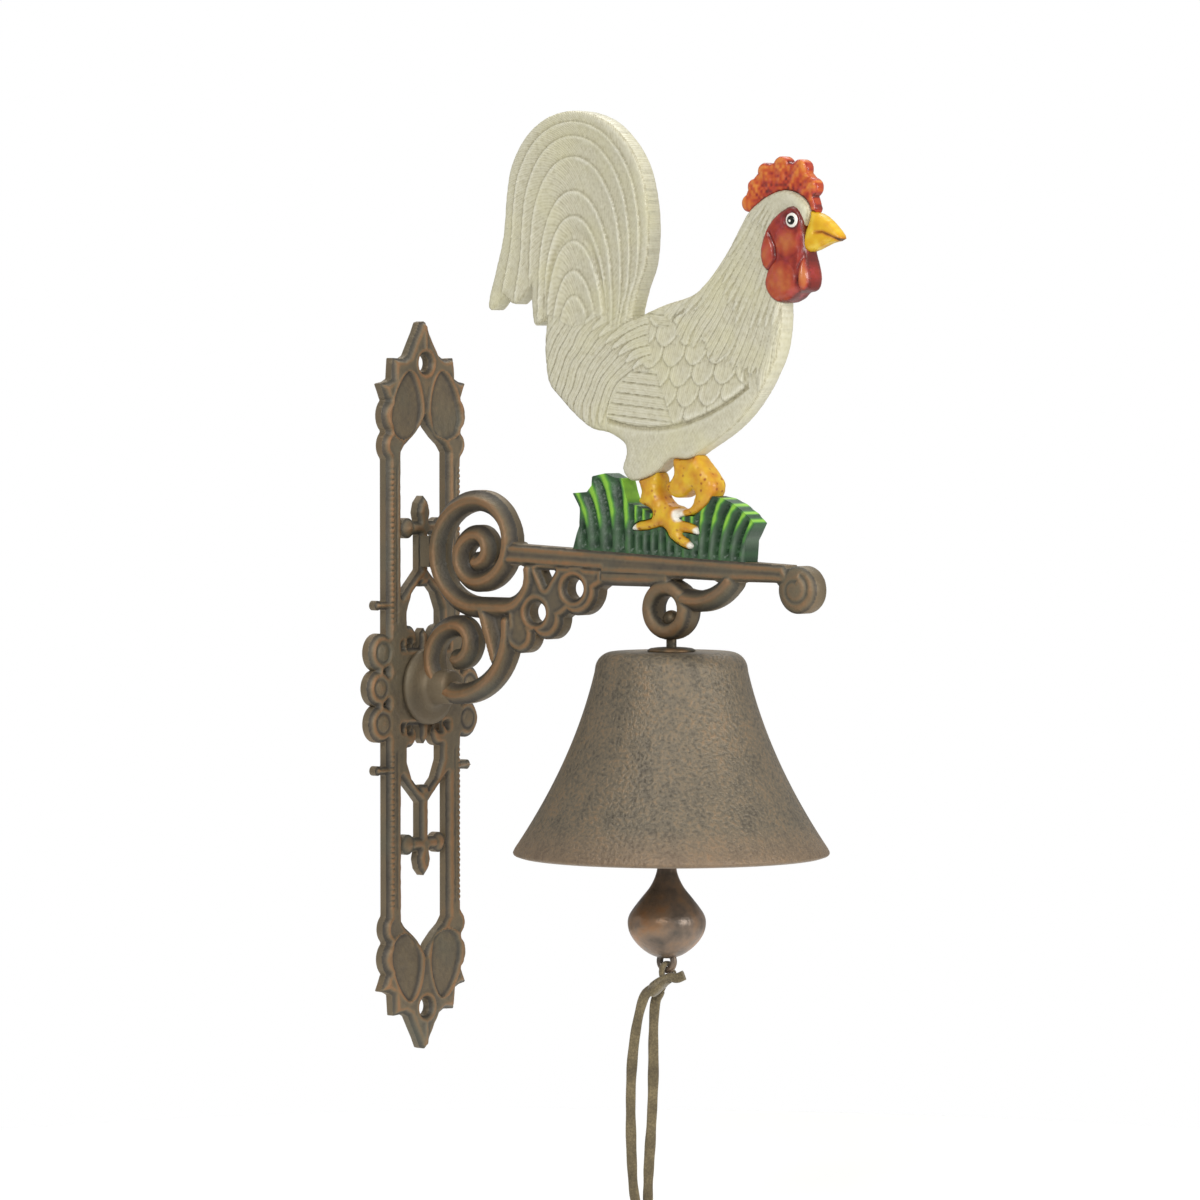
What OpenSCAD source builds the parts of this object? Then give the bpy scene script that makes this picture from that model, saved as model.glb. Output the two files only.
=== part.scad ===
// Wall mounted cast-iron door bell: an openwork back plate, a scrolled arm with a
// painted rooster standing on it, and a bell with a clapper and a leather pull.
// Frame: X out of the wall along the arm, Y across the plate, Z up.
// Origin: the centre of the plate's back face.

/* [Wall plate] */
// Height of the back plate, tip to tip
plate_h = 330; // [328:1:334]
// Thickness of the plate casting
plate_t = 5.7; // [5:0.1:6.5]
// Half the width across the two side bars
bar_out = 25.8; // [25:0.1:27]
// Half the width of the window between the bars
bar_in = 15.8; // [15.4:0.1:16.4]
// Height of the two screw holes above and below the centre
screw_z = 146; // [144:1:147]
// Diameter of the two screw holes
screw_d = 8; // [5:0.5:9]

/* [Arm] */
// Thickness of the arm casting across the plate direction
arm_t = 14; // [12:0.5:15]
// Height of the beam's top face where it leaves the upper scroll
beam_z = 65.4; // [64:0.2:67]
// Angle by which the beam falls towards its tip
beam_fall = 2.5; // [1.5:0.1:3]
// Distance of the bell's axis from the wall
bell_x = 146; // [145:0.5:147]

/* [Bell] */
// Outside diameter of the bell at its lip
bell_d = 139; // [130:1:142]
// Height of the bell's flat crown
crown_z = 19.5; // [19.2:0.1:19.8]
// Thickness of the bell's wall
wall_t = 3.8; // [3:0.1:4.5]

/* [Hanger] */
// Diameter of the hanger rod
rod_d = 4.5; // [4:0.1:4.8]
// Diameter of the ball that is forged on the top of the rod
ball_d = 7.8; // [7.4:0.1:8]
// Diameter of the wire of the clapper link
link_wire = 2.6; // [2.2:0.1:2.8]

/* [Clapper] */
// Greatest diameter of the clapper weight
weight_d = 34.4; // [30:0.2:35]

/* [Pull] */
// Width of the leather lace
lace_w = 5; // [4:0.5:5.5]
// Thickness of the leather lace
lace_t = 2; // [1.6:0.1:2.4]

/* [Hidden] */
$fn = 64;

plate_half = plate_h / 2;
// Overlap that welds neighbouring shapes of one casting
lap = 1;
// The bracket's foot and its screw, on the plate's centre
foot_r = 17.5;
foot_x = plate_t + 4;
boss_r = 8;
boss_x = 22;
tap_r = 3.05;
// Rib section of the arm: half width at the middle plane and at the two faces
rib_w = 4.7;
rib_face = 1.6;
// The four half turns of the upper scroll share one vertical line of centres
up_x = 38;
up_turns = [[60.4, 24, 90], [66.2, 18.2, -90], [58.4, 10.4, 90], [62.75, 6.05, -90]];
// The lower scroll
low_x = 26;
low_turns = [[12.5, 15.4, 90], [20.3, 7.6, -90]];
// Ring that carries the bell
ring_z = 38;
ring_r = 13.3;
ring_hole = 6;
ball_z = 33.8;
// Thicknesses of the painted figure across the arm, and the place of its eyes
body_t = 12;
comb_t = 7;
skin_t = 2;
beak_t = 9;
leg_t = 13;
grass_t = 11;
eye_at = [216.6, 207];
eye_r = 3.3;
// Rod, link and clapper heights
eye_x = bell_x - 2.5;
eye_z = 2;
eye_ring = 4.4;
eye_wire = 2;
link_top = 1;
link_low = -17;
link_half = 4.4;
lug_z = -116.8;
lug_ring = 3.8;
lug_wire = 1.5;
weight_z = -99.4;
weight_foot = -115.2;
// Leather pull: routes from the hitch to the knot, x and z beside the bell's axis
left_route = [[-6, -129], [-11, -133], [-15, -145], [-17.5, -160], [-18.5, -175],
              [-18.5, -190], [-18, -205], [-17, -218], [-15, -227], [-13, -231]];
right_route = [[-5, -130], [-8, -136], [-9, -150], [-9, -165], [-9.5, -180],
               [-10.5, -195], [-11.5, -208], [-12, -219], [-12, -227], [-12, -231]];
knot_at = [-12.5, -235];

// Height of the beam's top face at a distance x from the wall
function beam_top(x) = beam_z - (x - 56) * tan(beam_fall);

// Points of an arc about (cx, cy)
function arc(cx, cy, r, a0, a1, n = 12) =
    [for (i = [0:n]) let (a = a0 + (a1 - a0) * i / n) [cx + r * cos(a), cy + r * sin(a)]];

// One point of the closed curve that runs through a ring of points
function through(p, i, t) =
    let (m = len(p), a = p[(i + m - 1) % m], b = p[i], c = p[(i + 1) % m], d = p[(i + 2) % m])
    0.5 * (2 * b + (c - a) * t + (2 * a - 5 * b + 4 * c - d) * t * t
           + (3 * b - a - 3 * c + d) * t * t * t);

// Closed smooth outline through a ring of points; a doubled point makes a corner
function smooth(p, n = 3) =
    [for (i = [0:len(p) - 1]) if (p[i] != p[(i + 1) % len(p)])
        for (k = [0:n - 1]) through(p, i, k / n)];

// Mirror a half outline, given from top to bottom, about the upright axis
function both_sides(p) = concat(p, [for (i = [len(p) - 1:-1:0]) [-p[i][0], p[i][1]]]);

// Lay a flat shape, drawn as (y, z), against the wall with the given thickness
module on_wall(t) {
    rotate([90, 0, 90]) linear_extrude(t) children();
}

// Stand a flat shape, drawn as (x, z), in the arm's plane, centred on it
module in_arm(t) {
    rotate([90, 0, 0]) linear_extrude(t, center = true) children();
}

// Top half of the plate's outline: finial, stepped shoulder, ear and two bulges
module plate_top() {
    half = concat([[0, plate_half], [2.4, plate_half - 0.6], [4.6, 160], [7.4, 155.5], [11, 149.5],
                   [14, 148], [21.2, 148.4], [22, 139], [25, 137.6], [29.8, 136.8], [28, 133.4],
                   [26.4, 130]],
                  arc(20, 122.5, 9, 50, -50), arc(21, 109, 7.6, 48, -48),
                  [[bar_out, 102.5], [bar_out, -lap]]);
    polygon(both_sides(half));
}

// Upper ornament of the window: heart, stem, two curls and a finial
module plate_heart() {
    for (s = [-1, 1]) {
        on_wall(plate_t) polygon([[s * (bar_in + lap), 40], [s * (bar_in + lap), 20],
                                  [s * 11.5, 16], [s * 11.5, 34], [s * 8, 42], [0, 49.4],
                                  [0, 55.6], [s * 8, 48]]);
        on_wall(plate_t) translate([s * 10.8, 71.6]) circle(4.6);
        on_wall(plate_t) translate([s * 10.8, 22]) difference() {
            circle(5.6);
            translate([0, -4]) circle(2.6);
            translate([-6, -14]) square([12, 8]);
        }
    }
    on_wall(plate_t) translate([-3, 45]) square([6, 34]);
    on_wall(plate_t) translate([-10.8, 68.6]) square([21.6, 6]);
    on_wall(plate_t) polygon(both_sides([[0, 86.4], [3.4, 83], [4.6, 78.5], [3.4, 74]]));
    on_wall(plate_t) polygon(both_sides([[3, 16], [2.4, 24], [0, 26.5]]));
}

// Half of the plate's frame, without its window
module plate_frame() {
    difference() {
        plate_top();
        polygon(both_sides([[0, 121.4], [3, 117], [8, 112.5], [13, 109], [bar_in, 105.5],
                            [bar_in, -2 * lap]]));
    }
}

// Cast openwork back plate with its two screw holes
module wall_plate() {
    color("saddlebrown")
    difference() {
        union() {
            for (up = [0, 1]) mirror([0, 0, up]) {
                on_wall(plate_t) plate_frame();
                plate_heart();
                for (s = [-1, 1]) {
                    on_wall(plate_t) translate([s * 29.6, 16]) circle(8.6);
                    on_wall(plate_t) translate([s * 25, 37.2]) square([14, 3.6], center = true);
                    on_wall(plate_t) translate([s * 31.2, 37.2]) circle(2.2);
                }
            }
            for (s = [-1, 1]) on_wall(plate_t) translate([s * 31.2, 0]) circle(8.2);
            on_wall(plate_t) square([2 * (bar_in + lap), 2 * foot_r], center = true);
        }
        for (s = [-1, 1]) translate([-1, 0, s * screw_z]) rotate([0, 90, 0])
            cylinder(d = screw_d, h = plate_t + 2);
        translate([-1, 0, 0]) rotate([0, 90, 0]) cylinder(r = 3.2, h = plate_t + 2);
        translate([-0.01, 0, 0]) rotate([0, 90, 0]) cylinder(r1 = 6.4, r2 = 3.2, h = 3.2);
    }
}

// Section of a rib of the arm at distance r from its centre
module rib_section(r) {
    polygon([[r - rib_face, -arm_t / 2], [r + rib_face, -arm_t / 2], [r + rib_w, -1.5],
             [r + rib_w, 1.5], [r + rib_face, arm_t / 2], [r - rib_face, arm_t / 2],
             [r - rib_w, 1.5], [r - rib_w, -1.5]]);
}

// Curved rib about (x, z), from angle a0 over the given sweep
module rib_arc(x, z, r, a0, sweep) {
    translate([x, 0, z]) rotate([90, 0, 0]) rotate([0, 0, a0])
        rotate_extrude(angle = sweep) rib_section(r);
}

// Straight rib from (x0, z0) to (x1, z1)
module rib_line(x0, z0, x1, z1) {
    run = norm([x1 - x0, z1 - z0]);
    translate([x0, 0, z0]) rotate([0, -atan2(z1 - z0, x1 - x0), 0])
        rotate([90, 0, 90]) linear_extrude(run)
            polygon([[-arm_t / 2, -rib_face], [-1.5, -rib_w], [1.5, -rib_w], [arm_t / 2, -rib_face],
                     [arm_t / 2, rib_face], [1.5, rib_w], [-1.5, rib_w], [-arm_t / 2, rib_face]]);
}

module scrolls() {
    for (t = up_turns) rib_arc(up_x, t[0], t[1], t[2], 180);
    for (t = low_turns) rib_arc(low_x, t[0], t[1], t[2], 180);
    rib_arc(low_x, 27.1, 30, -90, 96);
    rib_line(up_x, 36.4, 54.5, 36.4);
    rib_arc(54, 51.4, 15, -90, 100);
    rib_line(42, 36, 49.5, 14);
    in_arm(5) polygon([[42, 36], [57, 36], [50, 14]]);
}

// Pierced web with a scalloped edge under the root of the beam
module scalloped_web() {
    difference() {
        in_arm(11) union() {
            translate([63.5, 25]) circle(8.4);
            translate([78.5, 32.5]) circle(9.4);
            translate([96, 46]) circle(11.8);
            polygon([[57, 20], [72, 26], [88, 33], [112, 48.5], [112, 56], [66, 58], [56, 36]]);
        }
        in_arm(arm_t) translate([73, 35]) circle(4.6);
        in_arm(arm_t) translate([94.5, 46]) circle(4.6);
        in_arm(arm_t) polygon([[74.5, 54], [83.5, 54], [78.5, 47]]);
        in_arm(arm_t) translate([54, 51.4]) circle(12);
    }
}

// Beam with its end curl, the rib under it and the ring
module beam() {
    top = [for (x = [54, 211]) [x, beam_top(x)]];
    in_arm(12) union() {
        polygon(concat(top, [[217, 50], [206, 51], [184, 51], [110, 53], [110, 54.5], [54, 56.6]]));
        translate([217.5, 48.1]) circle(10.3);
        polygon([[108, 47.8], [136, 47.8], [150, 47], [150, 56], [108, 56]]);
    }
    rib_arc(162, 66, 24, -104, 66);
    difference() {
        in_arm(arm_t - 1) difference() {
            translate([bell_x, ring_z]) circle(ring_r);
            translate([bell_x, ring_z]) circle(ring_hole);
        }
        translate([bell_x, 0, ball_z]) sphere(d = ball_d + 0.6);
        translate([bell_x, 0, 24]) cylinder(r1 = 3.9, r2 = 2.9, h = 8);
    }
}

// Cast arm: two scrolls, pierced web, beam, ring and the round foot on the plate
module bracket() {
    color("sienna")
    difference() {
        union() {
            scrolls();
            scalloped_web();
            beam();
            translate([plate_t, 0, 0]) rotate([0, 90, 0]) cylinder(r = foot_r, h = foot_x - plate_t);
            translate([foot_x - 1, 0, 0]) rotate([0, 90, 0]) cylinder(r = boss_r, h = boss_x - foot_x);
            translate([plate_t, -4.5, 54]) cube([6.5, 9, 14]);
        }
        translate([plate_t - 1, 0, 0]) rotate([0, 90, 0]) cylinder(r = tap_r, h = 14);
    }
}

// Countersunk screw from the back of the plate into the foot
module bracket_screw() {
    color("dimgray")
    difference() {
        union() {
            rotate([0, 90, 0]) cylinder(r1 = 6.2, r2 = 3, h = 3.2);
            rotate([0, 90, 0]) cylinder(r = 3, h = 17);
        }
        translate([-1, -7, -0.6]) cube([2.4, 14, 1.2]);
    }
}

// Outline of the cast rooster: tail, saddle, breast, neck and head
module body_outline() {
    polygon(smooth([
        [128, 165.8], [131, 178], [135.5, 189], [137, 206], [135, 221.5], [131, 233.5], [123.5, 244],
        [112, 253], [96, 257.3], [80, 255], [67.5, 247], [59, 234], [56, 220], [54.3, 203],
        [49.5, 186], [45.6, 172.6], [48.2, 169.8], [54.5, 176.4], [54.5, 176.4], [61.4, 172.2],
        [70.4, 181.4], [70.4, 181.4], [70.6, 170], [72.6, 162.6], [79.4, 165.6], [79.4, 165.6],
        [78.2, 153], [80.2, 138], [86.4, 131], [96, 122.6], [105, 117], [114, 115.4], [122.6, 111],
        [124, 106], [122, 99.4], [126.5, 94.4], [135, 95.6], [142.4, 99], [148.4, 104], [158.4, 104],
        [166, 108], [181.6, 117], [193.8, 128], [202.8, 141.4], [208, 153], [209.6, 168],
        [209, 180], [216, 194], [221, 203], [223.4, 211], [219, 217], [210.5, 220], [200.6, 217.2],
        [192, 211.6], [188, 206.4], [182, 197], [174.4, 187.2], [167, 179.6], [160, 175],
        [146, 171.4], [136, 168]]));
}

// Outline of the red skin: round the eye, the cheek, the ear lobe and the wattles
module face_outline() {
    polygon(smooth([[216.5, 213.2], [208.5, 209.8], [203.2, 204.6], [200.2, 198.6], [199.2, 192.6],
                    [200.4, 187.6], [202.8, 185], [201.6, 179.6], [204.8, 174], [210.6, 171.6],
                    [215.8, 173.2], [219, 175.8], [223, 177], [224.4, 182], [223, 189.4],
                    [222.2, 194], [221.8, 202], [221, 208.6]]));
}

module beak_outline() {
    polygon(smooth([[217.5, 211], [227.6, 209.8], [235, 204.6], [239.4, 198.8], [233, 197],
                    [223, 193.4], [218.6, 196], [217, 203]]));
}

// Outline of both legs: the standing one with three toes and the raised one
module legs_outline() {
    polygon(smooth([[129.9, 98], [141, 98], [142.5, 89.5], [146.5, 84.5], [152, 82.6], [153.7, 78],
                    [162.5, 75.6], [165, 72.6], [164, 70.8], [155.4, 71.9], [158.5, 69.4],
                    [162, 66.6], [160.6, 64.6], [156, 65], [148.7, 69], [144.4, 74], [136.8, 72.6],
                    [128.6, 72.2], [127.4, 73.8], [130.5, 76.4], [138, 78], [137.6, 81.8],
                    [131, 84.8], [132.4, 89.4]]));
    polygon(smooth([[151, 107], [160, 107.5], [167.8, 100.2], [172.4, 94.5], [172.8, 90.2],
                    [170.3, 85.4], [166.3, 82], [161, 79.6], [152.4, 78.4], [152.4, 81],
                    [158.6, 82.7], [161, 85.3], [162.1, 88.8], [160.8, 90.6], [158.2, 89.4],
                    [155.4, 87.4], [150.5, 87.2], [146.7, 89.7], [146.3, 92.9], [149.1, 95.4],
                    [150.4, 98], [150, 101.6]]));
}

module rooster_body() {
    color("ivory") in_arm(body_t) body_outline();
}

// Rounded points of the single comb, from the back of the head to the beak: x, z and radius
comb_points = [[190, 214.8, 3.8], [193, 221.6, 3.7], [198.8, 228, 4.1], [207.6, 230, 4.7],
               [217.4, 228.8, 4.4], [222.8, 221, 4.2]];
module rooster_comb() {
    color("orangered")
    in_arm(comb_t) difference() {
        union() {
            for (p = comb_points) translate([p[0], p[1]]) circle(p[2]);
            polygon([[190, 211.5], [190.5, 218], [195.5, 225], [203, 228.5], [212, 229],
                     [219, 225.5], [224.5, 218], [226.6, 212], [224, 206], [192, 206]]);
        }
        body_outline();
        beak_outline();
    }
}

// Red face: a raised skin on both cheeks, as thick as the body where the wattles hang free
module rooster_face() {
    color("firebrick") {
        for (s = [-1, 1]) translate([0, s * (body_t + skin_t) / 2, 0])
            in_arm(skin_t) difference() {
                face_outline();
                translate(eye_at) circle(eye_r + 0.1);
            }
        in_arm(body_t) difference() {
            face_outline();
            body_outline();
            beak_outline();
        }
    }
}

module rooster_beak() {
    color("gold")
    in_arm(beak_t) difference() {
        beak_outline();
        body_outline();
    }
}

// The two painted eyes, one on each cheek
module rooster_eyes() {
    color("white")
    for (s = [-1, 1]) translate([eye_at[0], s * (body_t / 2 + 1.2), eye_at[1]])
        rotate([90, 0, 0]) cylinder(r = eye_r, h = 2.4, center = true);
}

module rooster_legs() {
    color("goldenrod")
    in_arm(leg_t) difference() {
        legs_outline();
        body_outline();
    }
}

// Tuft of cast grass that joins the beam to the legs
module grass_tuft() {
    left = 94;
    right = 190;
    color("darkgreen")
    in_arm(grass_t) difference() {
        polygon([[left, beam_top(left)], [98, 74], [98, 82], [94, 88.4], [102, 89], [105, 91.8],
                 [105, 96], [113, 97.4], [118, 95.4], [122, 95.4], [123.5, 90], [125.5, 84.4],
                 [131.5, 83], [138, 80], [162, 79], [168, 84], [170, 88.4], [178, 87], [184, 84.6],
                 [190.5, 80.4], [195, 76.4], [190.5, 68.8], [right, beam_top(right)]]);
        legs_outline();
        body_outline();
    }
}

// Rod of the hanger: ball head in the ring, shank and an eye bent at its foot
module hanger_rod() {
    color("peru")
    union() {
        translate([bell_x, 0, ball_z]) sphere(d = ball_d);
        translate([bell_x, 0, eye_z + 3.4]) cylinder(d = rod_d, h = ball_z - eye_z - 3.4);
        translate([eye_x, 0, eye_z]) rotate([90, 0, 0])
            rotate_extrude() translate([eye_ring, 0]) circle(eye_wire);
    }
}

// Flat washer and hexagon nut that carry the crown from inside
module inner_washer() {
    color("gray")
    translate([bell_x, 0, crown_z - 6.1]) difference() {
        cylinder(r = 8, h = 1.5);
        translate([0, 0, -1]) cylinder(d = rod_d + 0.1, h = 4);
    }
}

module crown_nut() {
    color("gray")
    translate([bell_x, 0, crown_z - 10.1]) difference() {
        cylinder(r = 4.6, h = 4, $fn = 6);
        translate([0, 0, -1]) cylinder(d = rod_d + 0.1, h = 6);
    }
}

// Half profile of the bell: flat crown, round shoulder and a flare to the lip
function flare(t) = 0.23 * t + 0.0028 * t * t;
module bell_shell() {
    lip_r = bell_d / 2;
    shoulder_z = crown_z - 8;
    neck_r = lip_r - flare(79.5);
    steps = 12;
    outside = concat([[rod_d / 2 + 0.07, crown_z]], arc(neck_r - 8, shoulder_z, 8, 90, 8, 5),
                     [for (i = [0:steps]) let (t = 79.5 * i / steps)
                         [neck_r + flare(t), shoulder_z - t]],
                     [[lip_r, shoulder_z - 80.8], [lip_r - 1.4, shoulder_z - 82]]);
    inside = concat([[lip_r - wall_t, shoulder_z - 81.4]],
                    [for (i = [steps:-1:1]) let (t = 79.5 * i / steps)
                        [neck_r + flare(t) - wall_t * 1.1, shoulder_z - t]],
                    arc(neck_r - 9, shoulder_z - 1.6, 5.2, 0, 90, 4),
                    [[rod_d / 2 + 0.07, shoulder_z + 3.6]]);
    color("rosybrown")
    translate([bell_x, 0, 0]) rotate_extrude() polygon(concat(outside, inside));
}

// Domed washer on the crown
module crown_washer() {
    color("darkolivegreen")
    translate([bell_x, 0, crown_z]) rotate_extrude()
        polygon([[rod_d / 2 + 0.1, 0], [10.6, 0], [10.6, 0.8], [9, 1.5], [4, 2], [rod_d / 2 + 0.1, 2]]);
}

// Wire link between the rod's eye and the clapper's eye
module clapper_link() {
    color("dimgray")
    translate([eye_x, 0, 0]) rotate([90, 0, 90]) union() {
        for (up = [0, 1])
            translate([0, up ? link_top - link_half : link_low + link_half, 0])
                rotate([0, 0, up * 180]) rotate([0, 0, 180])
                    rotate_extrude(angle = 180) translate([link_half, 0]) circle(d = link_wire);
        for (s = [-1, 1]) translate([s * link_half, link_low + link_half, 0]) rotate([-90, 0, 0])
            cylinder(d = link_wire, h = link_top - link_low - 2 * link_half);
    }
}

// Clapper: eye, slender shank, onion weight and the lug for the pull
module clapper_weight() {
    r = weight_d / 2;
    color("saddlebrown")
    translate([eye_x, 0, 0]) union() {
        translate([0, 0, link_low - 1]) rotate([90, 0, 0])
            rotate_extrude() translate([4.2, 0]) circle(1.8);
        rotate_extrude() polygon(concat(
            [[0, -22.6], [2.6, -22.6], [3.2, -27], [3.6, -60], [4.1, -74], [5, -79], [7.4, -84],
             [11, -88.6], [14.6, -93]],
            arc(r - 11, weight_z, 11, 26, -38, 5),
            [[11.6, -110.4], [8, -113.4], [3.4, weight_foot], [0, weight_foot]]));
        translate([0, 0, lug_z]) rotate([90, 0, 0])
            rotate_extrude() translate([lug_ring, 0]) circle(lug_wire);
    }
}

// Hitch of the lace: the loop through the lug and the crossing under it
module strap_hitch() {
    color("darkkhaki")
    translate([eye_x, 0, 0]) union() {
        translate([0, 0, -121.3]) rotate([90, 0, 90])
            rotate_extrude() translate([3.6, 0]) circle(1.3);
        translate([-3, 0, -128.2]) rotate([90, 0, 0]) cylinder(r = 4.4, h = 7, center = true);
    }
}

// Flat lace swept along a route of x and z beside the pull's axis, at one y
module lace(route, y) {
    n = len(route);
    dir = [for (i = [0:n - 1]) let (d = route[min(i + 1, n - 1)] - route[max(i - 1, 0)]) d / norm(d)];
    rows = [for (i = [0:n - 1]) for (k = [0:7]) let (u = lace_w / 2 * cos(45 * k + 22.5))
        [eye_x + route[i][0] - dir[i][1] * u, y + lace_t / 2 * sin(45 * k + 22.5),
         route[i][1] + dir[i][0] * u]];
    sides = [for (i = [0:n - 2]) for (k = [0:7])
        [8 * i + k, 8 * i + (k + 1) % 8, 8 * i + 8 + (k + 1) % 8, 8 * i + 8 + k]];
    polyhedron(rows, concat([[for (k = [7:-1:0]) k]], sides,
                            [[for (k = [0:7]) 8 * (n - 1) + k]]));
}

module strap_left() {
    color("darkkhaki") lace(left_route, -2);
}

module strap_right() {
    color("darkkhaki") lace(right_route, 2);
}

// Overhand knot that joins the two ends of the lace
module strap_knot() {
    color("darkkhaki")
    translate([eye_x + knot_at[0], 0, knot_at[1]]) rotate([90, 0, 0]) union() {
        cylinder(r = 5, h = 8, center = true);
        translate([-3, -11, -1.5]) cube([6, 8, 3]);
    }
}

wall_plate();
bracket();
bracket_screw();
rooster_body();
rooster_comb();
rooster_face();
rooster_beak();
rooster_eyes();
rooster_legs();
grass_tuft();
hanger_rod();
inner_washer();
crown_nut();
bell_shell();
crown_washer();
clapper_link();
clapper_weight();
strap_hitch();
strap_left();
strap_right();
strap_knot();
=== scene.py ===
import math

import bmesh
import bpy
import numpy as np
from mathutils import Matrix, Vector


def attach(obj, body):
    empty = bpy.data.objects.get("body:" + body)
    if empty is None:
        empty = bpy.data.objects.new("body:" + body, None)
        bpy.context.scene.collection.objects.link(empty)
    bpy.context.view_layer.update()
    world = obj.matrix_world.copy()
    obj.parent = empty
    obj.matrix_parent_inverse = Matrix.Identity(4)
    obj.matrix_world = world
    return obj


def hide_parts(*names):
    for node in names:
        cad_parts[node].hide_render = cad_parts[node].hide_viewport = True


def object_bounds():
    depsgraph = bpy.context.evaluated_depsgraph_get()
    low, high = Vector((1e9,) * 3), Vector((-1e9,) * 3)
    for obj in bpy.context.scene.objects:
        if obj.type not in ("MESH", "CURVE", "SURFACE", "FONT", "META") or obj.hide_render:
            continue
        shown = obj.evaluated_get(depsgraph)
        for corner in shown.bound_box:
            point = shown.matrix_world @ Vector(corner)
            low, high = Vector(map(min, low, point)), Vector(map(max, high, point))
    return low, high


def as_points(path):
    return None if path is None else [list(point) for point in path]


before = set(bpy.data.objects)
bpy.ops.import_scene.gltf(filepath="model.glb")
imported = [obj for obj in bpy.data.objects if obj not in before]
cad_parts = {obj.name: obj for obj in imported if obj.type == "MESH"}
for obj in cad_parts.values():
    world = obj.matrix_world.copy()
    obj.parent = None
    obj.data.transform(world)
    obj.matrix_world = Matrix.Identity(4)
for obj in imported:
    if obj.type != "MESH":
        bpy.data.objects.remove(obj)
cad_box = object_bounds()


# ------------------------------------------------------------------ camera and studio
# The bell is seen from beside its arm and a little above it, through a long lens, over a
# pale floor, with soft lamps from the front, both sides, behind and above, and an even
# pale sky.

LOOKED_AT = Vector((0.106, 0.0, 0.0412))
# The backdrop looks white, but lights the bell only this much
SKY_LIGHT = 0.42


def around(azimuth, elevation, distance):
    """The place at that bearing, height angle and distance from what the camera looks at."""
    a, e = math.radians(azimuth), math.radians(elevation)
    way = Vector((math.sin(a) * math.cos(e), -math.cos(a) * math.cos(e), math.sin(e)))
    return LOOKED_AT + way * distance


def aimed(thing, place):
    """Puts a camera or lamp at a place and turns it to what the camera looks at."""
    holder = bpy.data.objects.new(thing.name, thing)
    holder.location = place
    holder.rotation_euler = (LOOKED_AT - place).to_track_quat("-Z", "Y").to_euler()
    bpy.context.scene.collection.objects.link(holder)
    return holder


lens = bpy.data.cameras.new("camera")
lens.sensor_width = 36
lens.lens = 180
bpy.context.scene.camera = aimed(lens, around(38.5, 2.1, 2.654))

for name, azimuth, elevation, distance, width, watts in (
    ("front_lamp", 26, 26, 1.9, 0.7, 16),
    ("right_lamp", 92, 10, 1.8, 0.7, 16),
    ("left_lamp", -60, 12, 2.0, 1.0, 1.0),
    ("rear_lamp", 215, 62, 2.0, 1.6, 22),
    ("top_lamp", 0, 89, 1.7, 1.2, 5),
):
    lamp = bpy.data.lights.new(name, "AREA")
    lamp.shape = "DISK"
    lamp.size = width
    lamp.energy = watts
    aimed(lamp, around(azimuth, elevation, distance))

sky = bpy.data.worlds.new("studio_sky")
sky.use_nodes = True
sky.node_tree.nodes["Background"].inputs["Color"].default_value = (1.0, 1.0, 1.0, 1.0)
seen = sky.node_tree.nodes.new("ShaderNodeLightPath")
level = sky.node_tree.nodes.new("ShaderNodeMath")
level.operation = "MULTIPLY_ADD"
level.inputs[1].default_value = 1.0 - SKY_LIGHT
level.inputs[2].default_value = SKY_LIGHT
sky.node_tree.links.new(seen.outputs["Is Camera Ray"], level.inputs[0])
sky.node_tree.links.new(level.outputs[0], sky.node_tree.nodes["Background"].inputs["Strength"])
bpy.context.scene.world = sky
bpy.context.scene.view_settings.view_transform = "Standard"


def mesh_piece(name, points, faces, flat=False):
    """A piece with these corner points, in metres, and faces, shaded smooth but for its sharp edges."""
    mesh = bpy.data.meshes.new(name)
    mesh.from_pydata([tuple(map(float, p)) for p in points], [], [list(map(int, f)) for f in faces])
    mesh.validate()
    work = bmesh.new()
    work.from_mesh(mesh)
    bmesh.ops.recalc_face_normals(work, faces=work.faces)
    work.to_mesh(mesh)
    work.free()
    if not flat:
        mesh.shade_smooth()
        mesh.set_sharp_from_angle(angle=math.radians(62))
    piece = bpy.data.objects.new(name, mesh)
    bpy.context.scene.collection.objects.link(piece)
    return piece


def linear(hex_code):
    """An sRGB hex value as the linear colour that shaders take."""
    parts = [int(hex_code[i:i + 2], 16) / 255 for i in (1, 3, 5)]
    return tuple(c / 12.92 if c <= 0.04045 else ((c + 0.055) / 1.055) ** 2.4 for c in parts) + (1.0,)


def add(tree, kind, values=None, links=None, stops=None, **settings):
    """Adds one node to a tree, with its settings, socket values, colour stops and links."""
    node = tree.nodes.new(kind)
    for key, value in settings.items():
        setattr(node, key, value)
    for key, value in (values or {}).items():
        node.inputs[key].default_value = value
    for key, socket in (links or {}).items():
        tree.links.new(socket, node.inputs[key])
    for i, (place, hex_code) in enumerate(stops or []):
        stop = node.color_ramp.elements[i] if i < 2 else node.color_ramp.elements.new(place)
        stop.position = place
        stop.color = linear(hex_code)
    return node


def blank_finish(name, **values):
    """A new material and its tree, shader and place socket, with constants set on the shader."""
    material = bpy.data.materials.new(name)
    material.use_nodes = True
    tree = material.node_tree
    shader = tree.nodes["Principled BSDF"]
    for key, value in values.items():
        shader.inputs[key.replace("_", " ")].default_value = value
    place = add(tree, "ShaderNodeTexCoord").outputs["Object"]
    return material, tree, shader, place


def floor_paint():
    """Matt white emulsion: flat and even, so that it only shows soft shadows."""
    material, _, shader, _ = blank_finish("matt_white_emulsion", Roughness=0.9)
    shader.inputs["Base Color"].default_value = linear("#fafaf8")
    return material


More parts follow.
